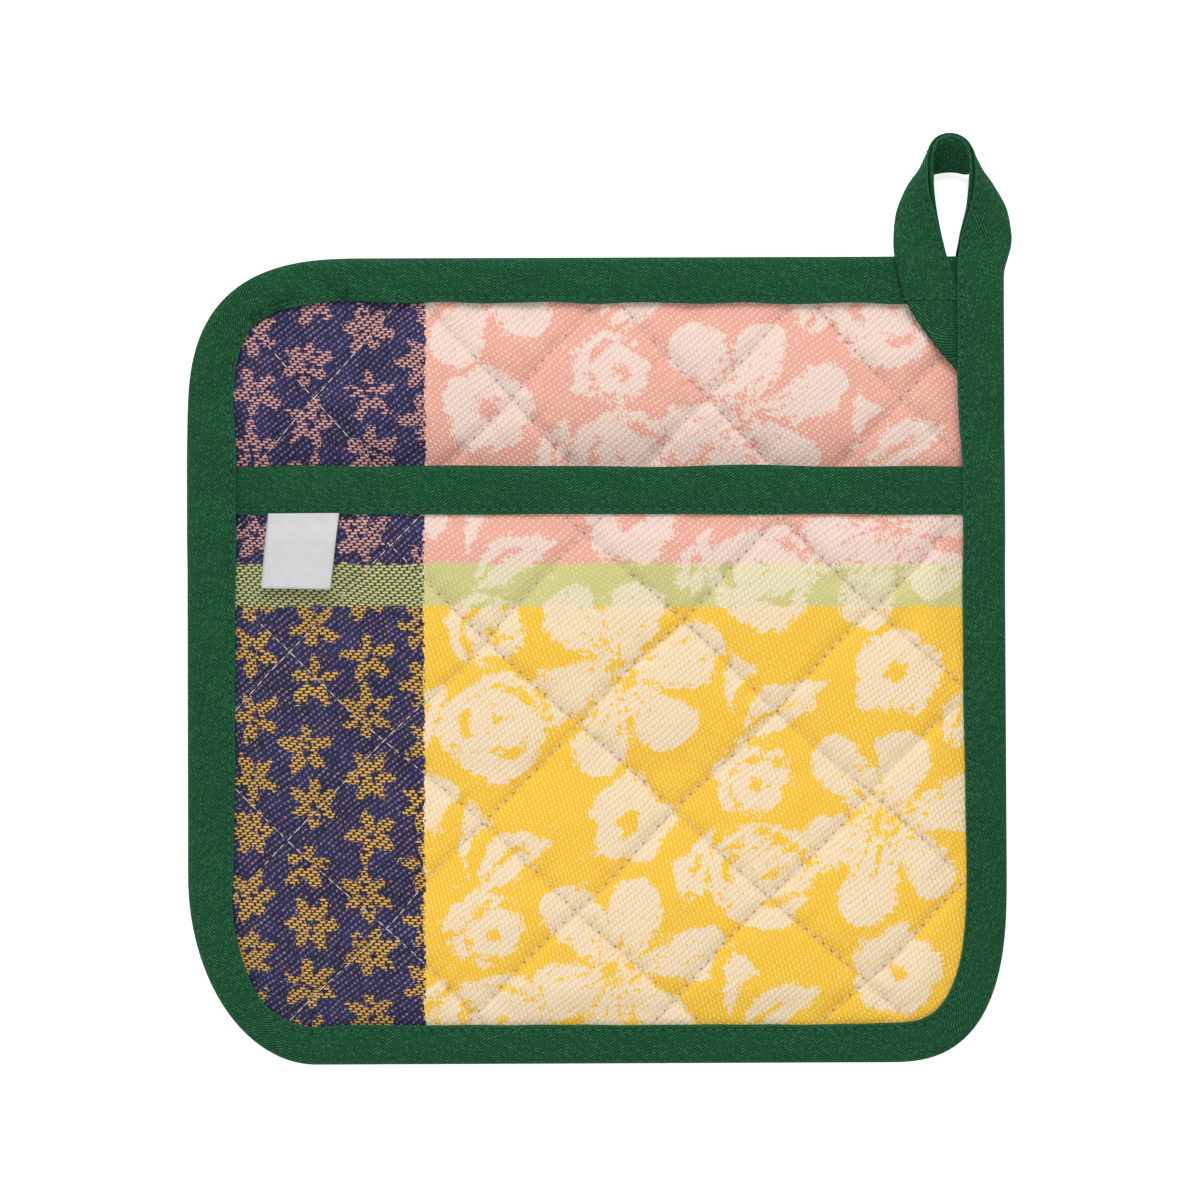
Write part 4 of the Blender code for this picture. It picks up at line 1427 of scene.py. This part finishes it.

# %% [markdown]
# ## Stitches by Geometry Nodes
#
# All sewing is the same small thing repeated along a line: a short bead of thread, a needle
# hole, and the next bead. One node tree makes it. It resamples a line at the stitch length, sets
# a stretched ball on every point, turned along the line, and between every two a small flat dark
# ball that is painted shade for the needle hole.

# %% Stitch tree
BEAD_SHARE = (0.38, 0.46)   # half a bead's length, as a share of the stitch
THREAD_TWIST = 2.2
THREAD_RELIEF = 0.00005


def thread_material(name, light, dark):
    cloth = Cloth(name, 0.6, 0.1)
    x, y, z = cloth.place("Object")
    twist = cloth.noise(cloth.vector(x, y, z), THREAD_TWIST)
    return cloth.finish(cloth.blend(twist, dark, light), twist, THREAD_RELIEF)


class Steps:
    """A Geometry Nodes tree that is written down step by step."""

    def __init__(self, name, sizes, numbers):
        self.tree = bpy.data.node_groups.new(name, "GeometryNodeTree")
        face = self.tree.interface
        face.new_socket("Geometry", in_out="INPUT", socket_type="NodeSocketGeometry")
        for label_text in sizes:
            face.new_socket(label_text, in_out="INPUT", socket_type="NodeSocketFloat")
        for label_text in numbers:
            face.new_socket(label_text, in_out="INPUT", socket_type="NodeSocketInt")
        face.new_socket("Geometry", in_out="OUTPUT", socket_type="NodeSocketGeometry")

    def node(self, kind, **settings):
        made = self.tree.nodes.new(kind)
        for key, value in settings.items():
            setattr(made, key, value)
        return made

    def link(self, output, socket):
        self.tree.links.new(output, socket)

    def times(self, size, share):
        product = self.node("ShaderNodeMath", operation="MULTIPLY")
        self.link(size, product.inputs[0])
        if isinstance(share, bpy.types.NodeSocket):
            self.link(share, product.inputs[1])
        else:
            product.inputs[1].default_value = share
        return product.outputs[0]

    def three_sizes(self, *sizes):
        """A vector of three products, each of a size and a share."""
        joined = self.node("ShaderNodeCombineXYZ")
        for socket, (size, share) in zip(joined.inputs, sizes):
            self.link(self.times(size, share), socket)
        return joined


def unit_ball(steps):
    """A ball of a few faces, because it is repeated hundreds of times."""
    ball = steps.node("GeometryNodeMeshUVSphere")
    for key, value in (("Segments", 7), ("Rings", 5), ("Radius", 1.0)):
        ball.inputs[key].default_value = value
    return ball


def stitch_tree(name, thread, hole):
    """A tree that sews along edges: inputs Length, Thread and Hole, in metres, and Seed."""
    steps = Steps(name, ("Length", "Thread", "Hole"), ("Seed",))
    node, link = steps.node, steps.link
    given = node("NodeGroupInput").outputs
    curve = node("GeometryNodeMeshToCurve")
    link(given["Geometry"], curve.inputs[0])
    spaced = node("GeometryNodeResampleCurve", mode="LENGTH")
    link(curve.outputs[0], spaced.inputs["Curve"])
    link(given["Length"], spaced.inputs["Length"])
    tangent = node("GeometryNodeInputTangent")
    turn = node("FunctionNodeAlignRotationToVector", axis="X")
    link(tangent.outputs[0], turn.inputs["Vector"])
    ball = unit_ball(steps)

    uneven = node("FunctionNodeRandomValue", data_type="FLOAT")
    uneven.inputs[2].default_value, uneven.inputs[3].default_value = BEAD_SHARE
    link(given["Seed"], uneven.inputs["Seed"])
    bead_size = steps.three_sizes((given["Length"], uneven.outputs[1]), (given["Thread"], 0.5),
                                  (given["Thread"], 0.45))
    hole_size = steps.three_sizes(*((given["Hole"], share) for share in (0.5, 0.5, 0.32)))

    between = node("GeometryNodeSetPosition")
    half_stitch = node("ShaderNodeVectorMath", operation="SCALE")
    link(tangent.outputs[0], half_stitch.inputs[0])
    link(steps.times(given["Length"], 0.5), half_stitch.inputs["Scale"])
    link(spaced.outputs[0], between.inputs["Geometry"])
    link(half_stitch.outputs[0], between.inputs["Offset"])

    joined = node("GeometryNodeJoinGeometry")
    # the balls between the beads wear the hole material, a painted shade for the needle holes
    for points, size, look in ((spaced, bead_size, thread), (between, hole_size, hole)):
        spread = node("GeometryNodeInstanceOnPoints")
        link(points.outputs[0], spread.inputs["Points"])
        link(ball.outputs["Mesh"], spread.inputs["Instance"])
        link(turn.outputs[0], spread.inputs["Rotation"])
        link(size.outputs[0], spread.inputs["Scale"])
        real = node("GeometryNodeRealizeInstances")
        link(spread.outputs[0], real.inputs[0])
        dressed = node("GeometryNodeSetMaterial")
        dressed.inputs["Material"].default_value = look
        link(real.outputs[0], dressed.inputs["Geometry"])
        link(dressed.outputs[0], joined.inputs[0])
    link(joined.outputs[0], node("NodeGroupOutput").inputs["Geometry"])
    return steps.tree


def sew(name, strokes, tree, length, thread, hole, seed):
    """Lay the strokes as edges, run the stitch tree on them and keep the result as mesh."""
    points, edges = [], []
    for stroke in strokes:
        first = len(points)
        points += (np.asarray(stroke) * MM).tolist()
        edges += [(first + k, first + k + 1) for k in range(len(stroke) - 1)]
    mesh = bpy.data.meshes.new(name)
    mesh.from_pydata(points, edges, [])
    item = bpy.data.objects.new(name, mesh)
    modifier = item.modifiers.new("stitches", "NODES")
    modifier.node_group = tree
    values = {"Length": length, "Thread": thread, "Hole": hole}
    for socket in tree.interface.items_tree:
        if socket.in_out == "INPUT" and socket.name in values:
            modifier[socket.identifier] = values[socket.name] * MM
        if socket.in_out == "INPUT" and socket.name == "Seed":
            modifier[socket.identifier] = seed
    bpy.context.scene.collection.objects.link(item)
    made_plain(item)
    item.data.shade_smooth()
    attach(item, "root")
    print(name, len(strokes), "lines,", len(item.data.polygons), "faces")
    return item


# The hole materials are painted shade: brown on the quilting and near black on the tape, where the
# needle holes lie in shadow.
painted_hole_shade = thread_material("painted_hole_shade", linear(160, 118, 86), linear(122, 88, 64))
pale_thread = thread_material("pale_thread", linear(236, 226, 214), linear(212, 196, 180))
green_thread = thread_material("green_thread", linear(44, 110, 80), linear(24, 78, 54))
dark_green_hole_shade = thread_material("green_needle_hole", linear(14, 44, 30), linear(10, 34, 22))
quilting = stitch_tree("quilting_stitch", pale_thread, painted_hole_shade)
topstitch = stitch_tree("top_stitch", green_thread, dark_green_hole_shade)
print("two stitch trees")

# %% [markdown]
# ## Sewing it together
#
# The quilting thread follows the same wandering lines as the valleys. Its height is found by
# dropping a ray on the finished cloth at each step, because the mesh rounds the valleys off. The
# tape is sewn just inside its open edge, on the face and on the back, and one short seam holds
# the loop's end on the top binding.

# %% Sewing
TAPE_STITCH = 2.5
TAPE_THREAD = 0.38
TAPE_THREAD_UNDER = 0.36
TAPE_HOLE = 0.5
QUILT_THREAD = 0.28
QUILT_HOLE = 0.40
LOOP_SEAM = (76.6, 88.6, 89.7, 6.80)   # from x, to x, y, z
LOOP_SEAM_POINTS = 18
CAUGHT_END = 30                        # the loop's caught end has no seam beneath it
CELLS_OUT = 8                          # how many diamonds a line reaches to each side
STROKE_STEP = 0.7
STROKE_LIMIT = 105.0                   # a line ends where X or Y is beyond this
SHORTEST_STROKE = 6


def skin_heights(panel, x, y, from_above, clearance):
    """Heights just off a panel's skin, in millimetres."""
    mesh = panel.data
    mesh.calc_loop_triangles()
    tree = BVHTree.FromPolygons([point.co for point in mesh.vertices],
                                [triangle.vertices for triangle in mesh.loop_triangles])
    start, down = (0.05, -1.0) if from_above else (-0.05, 1.0)
    heights_found = []
    for px, py in zip(x * MM, y * MM):
        hit = tree.ray_cast(Vector((px, py, start)), Vector((0.0, 0.0, down)))[0]
        heights_found.append((hit.z / MM if hit else 0.0) - down * clearance)
    return np.array(heights_found)


def quilt_strokes(lattice, panel, keep, from_above=True, clearance=0.05):
    """The runs of all quilting lines where `keep` says so, a hair off the panel."""
    (base_x, base_y), (ax, ay), (bx, by) = lattice
    strokes = []
    for (sx, sy), (tx, ty) in (((ax, ay), (bx, by)), ((bx, by), (ax, ay))):
        count = round(2.0 * CELLS_OUT * math.hypot(tx, ty) / STROKE_STEP)
        t = np.linspace(-CELLS_OUT, CELLS_OUT, count)
        for k in range(-CELLS_OUT, CELLS_OUT + 1):
            x, y = base_x + k * sx + t * tx, base_y + k * sy + t * ty
            x, y = sewn_shift(x, y, -1.0)
            near = (np.abs(x) < STROKE_LIMIT) & (np.abs(y) < STROKE_LIMIT)
            x, y = x[near], y[near]
            shown = keep(x, y)
            ends = np.flatnonzero(np.diff(np.concatenate(([0], shown.astype(int), [0]))))
            strokes += [np.column_stack((x, y))[a:b] for a, b in zip(ends[::2], ends[1::2])
                        if b - a > SHORTEST_STROKE]
    flat = np.vstack(strokes)
    heights_found = skin_heights(panel, flat[:, 0], flat[:, 1], from_above, clearance)
    cuts = np.cumsum([len(stroke) for stroke in strokes])[:-1]
    return np.split(np.column_stack((flat, heights_found)), cuts)


pad_strokes = quilt_strokes(PAD_LATTICE, pad, lambda x, y: (inset(x, y) > 0.2) & (y > 40.0))
under_strokes = quilt_strokes(PAD_LATTICE, pad, lambda x, y: inset(x, y) > 0.2,
                              from_above=False, clearance=0.0)
pocket_strokes = quilt_strokes(POCKET_LATTICE, pocket,
                               lambda x, y: (inset(x, y) > 0.2) & (y < BAND_LOW + 0.3))
for seed, (name, strokes, slot) in enumerate((
        ("pad_quilting", pad_strokes, "pad_jacquard"),
        ("pad_quilting_under", under_strokes, "pad_jacquard"),
        ("pocket_quilting", pocket_strokes, "pocket_jacquard")), start=1):
    sew(name, strokes, quilting, QUILT_STITCH, QUILT_THREAD, QUILT_HOLE, seed)

from_x, to_x, seam_y, seam_z = LOOP_SEAM
loop_seam = np.array([(x, seam_y, seam_z)
                      for x in np.linspace(from_x, to_x, LOOP_SEAM_POINTS)])
sew("tape_stitching", [binding_seam, band_seam, loop_seam], topstitch,
    TAPE_STITCH, TAPE_THREAD, TAPE_HOLE, 4)
sew("tape_stitching_under", [binding_seam_under[:-CAUGHT_END]], topstitch,
    TAPE_STITCH, TAPE_THREAD_UNDER, TAPE_HOLE, 5)
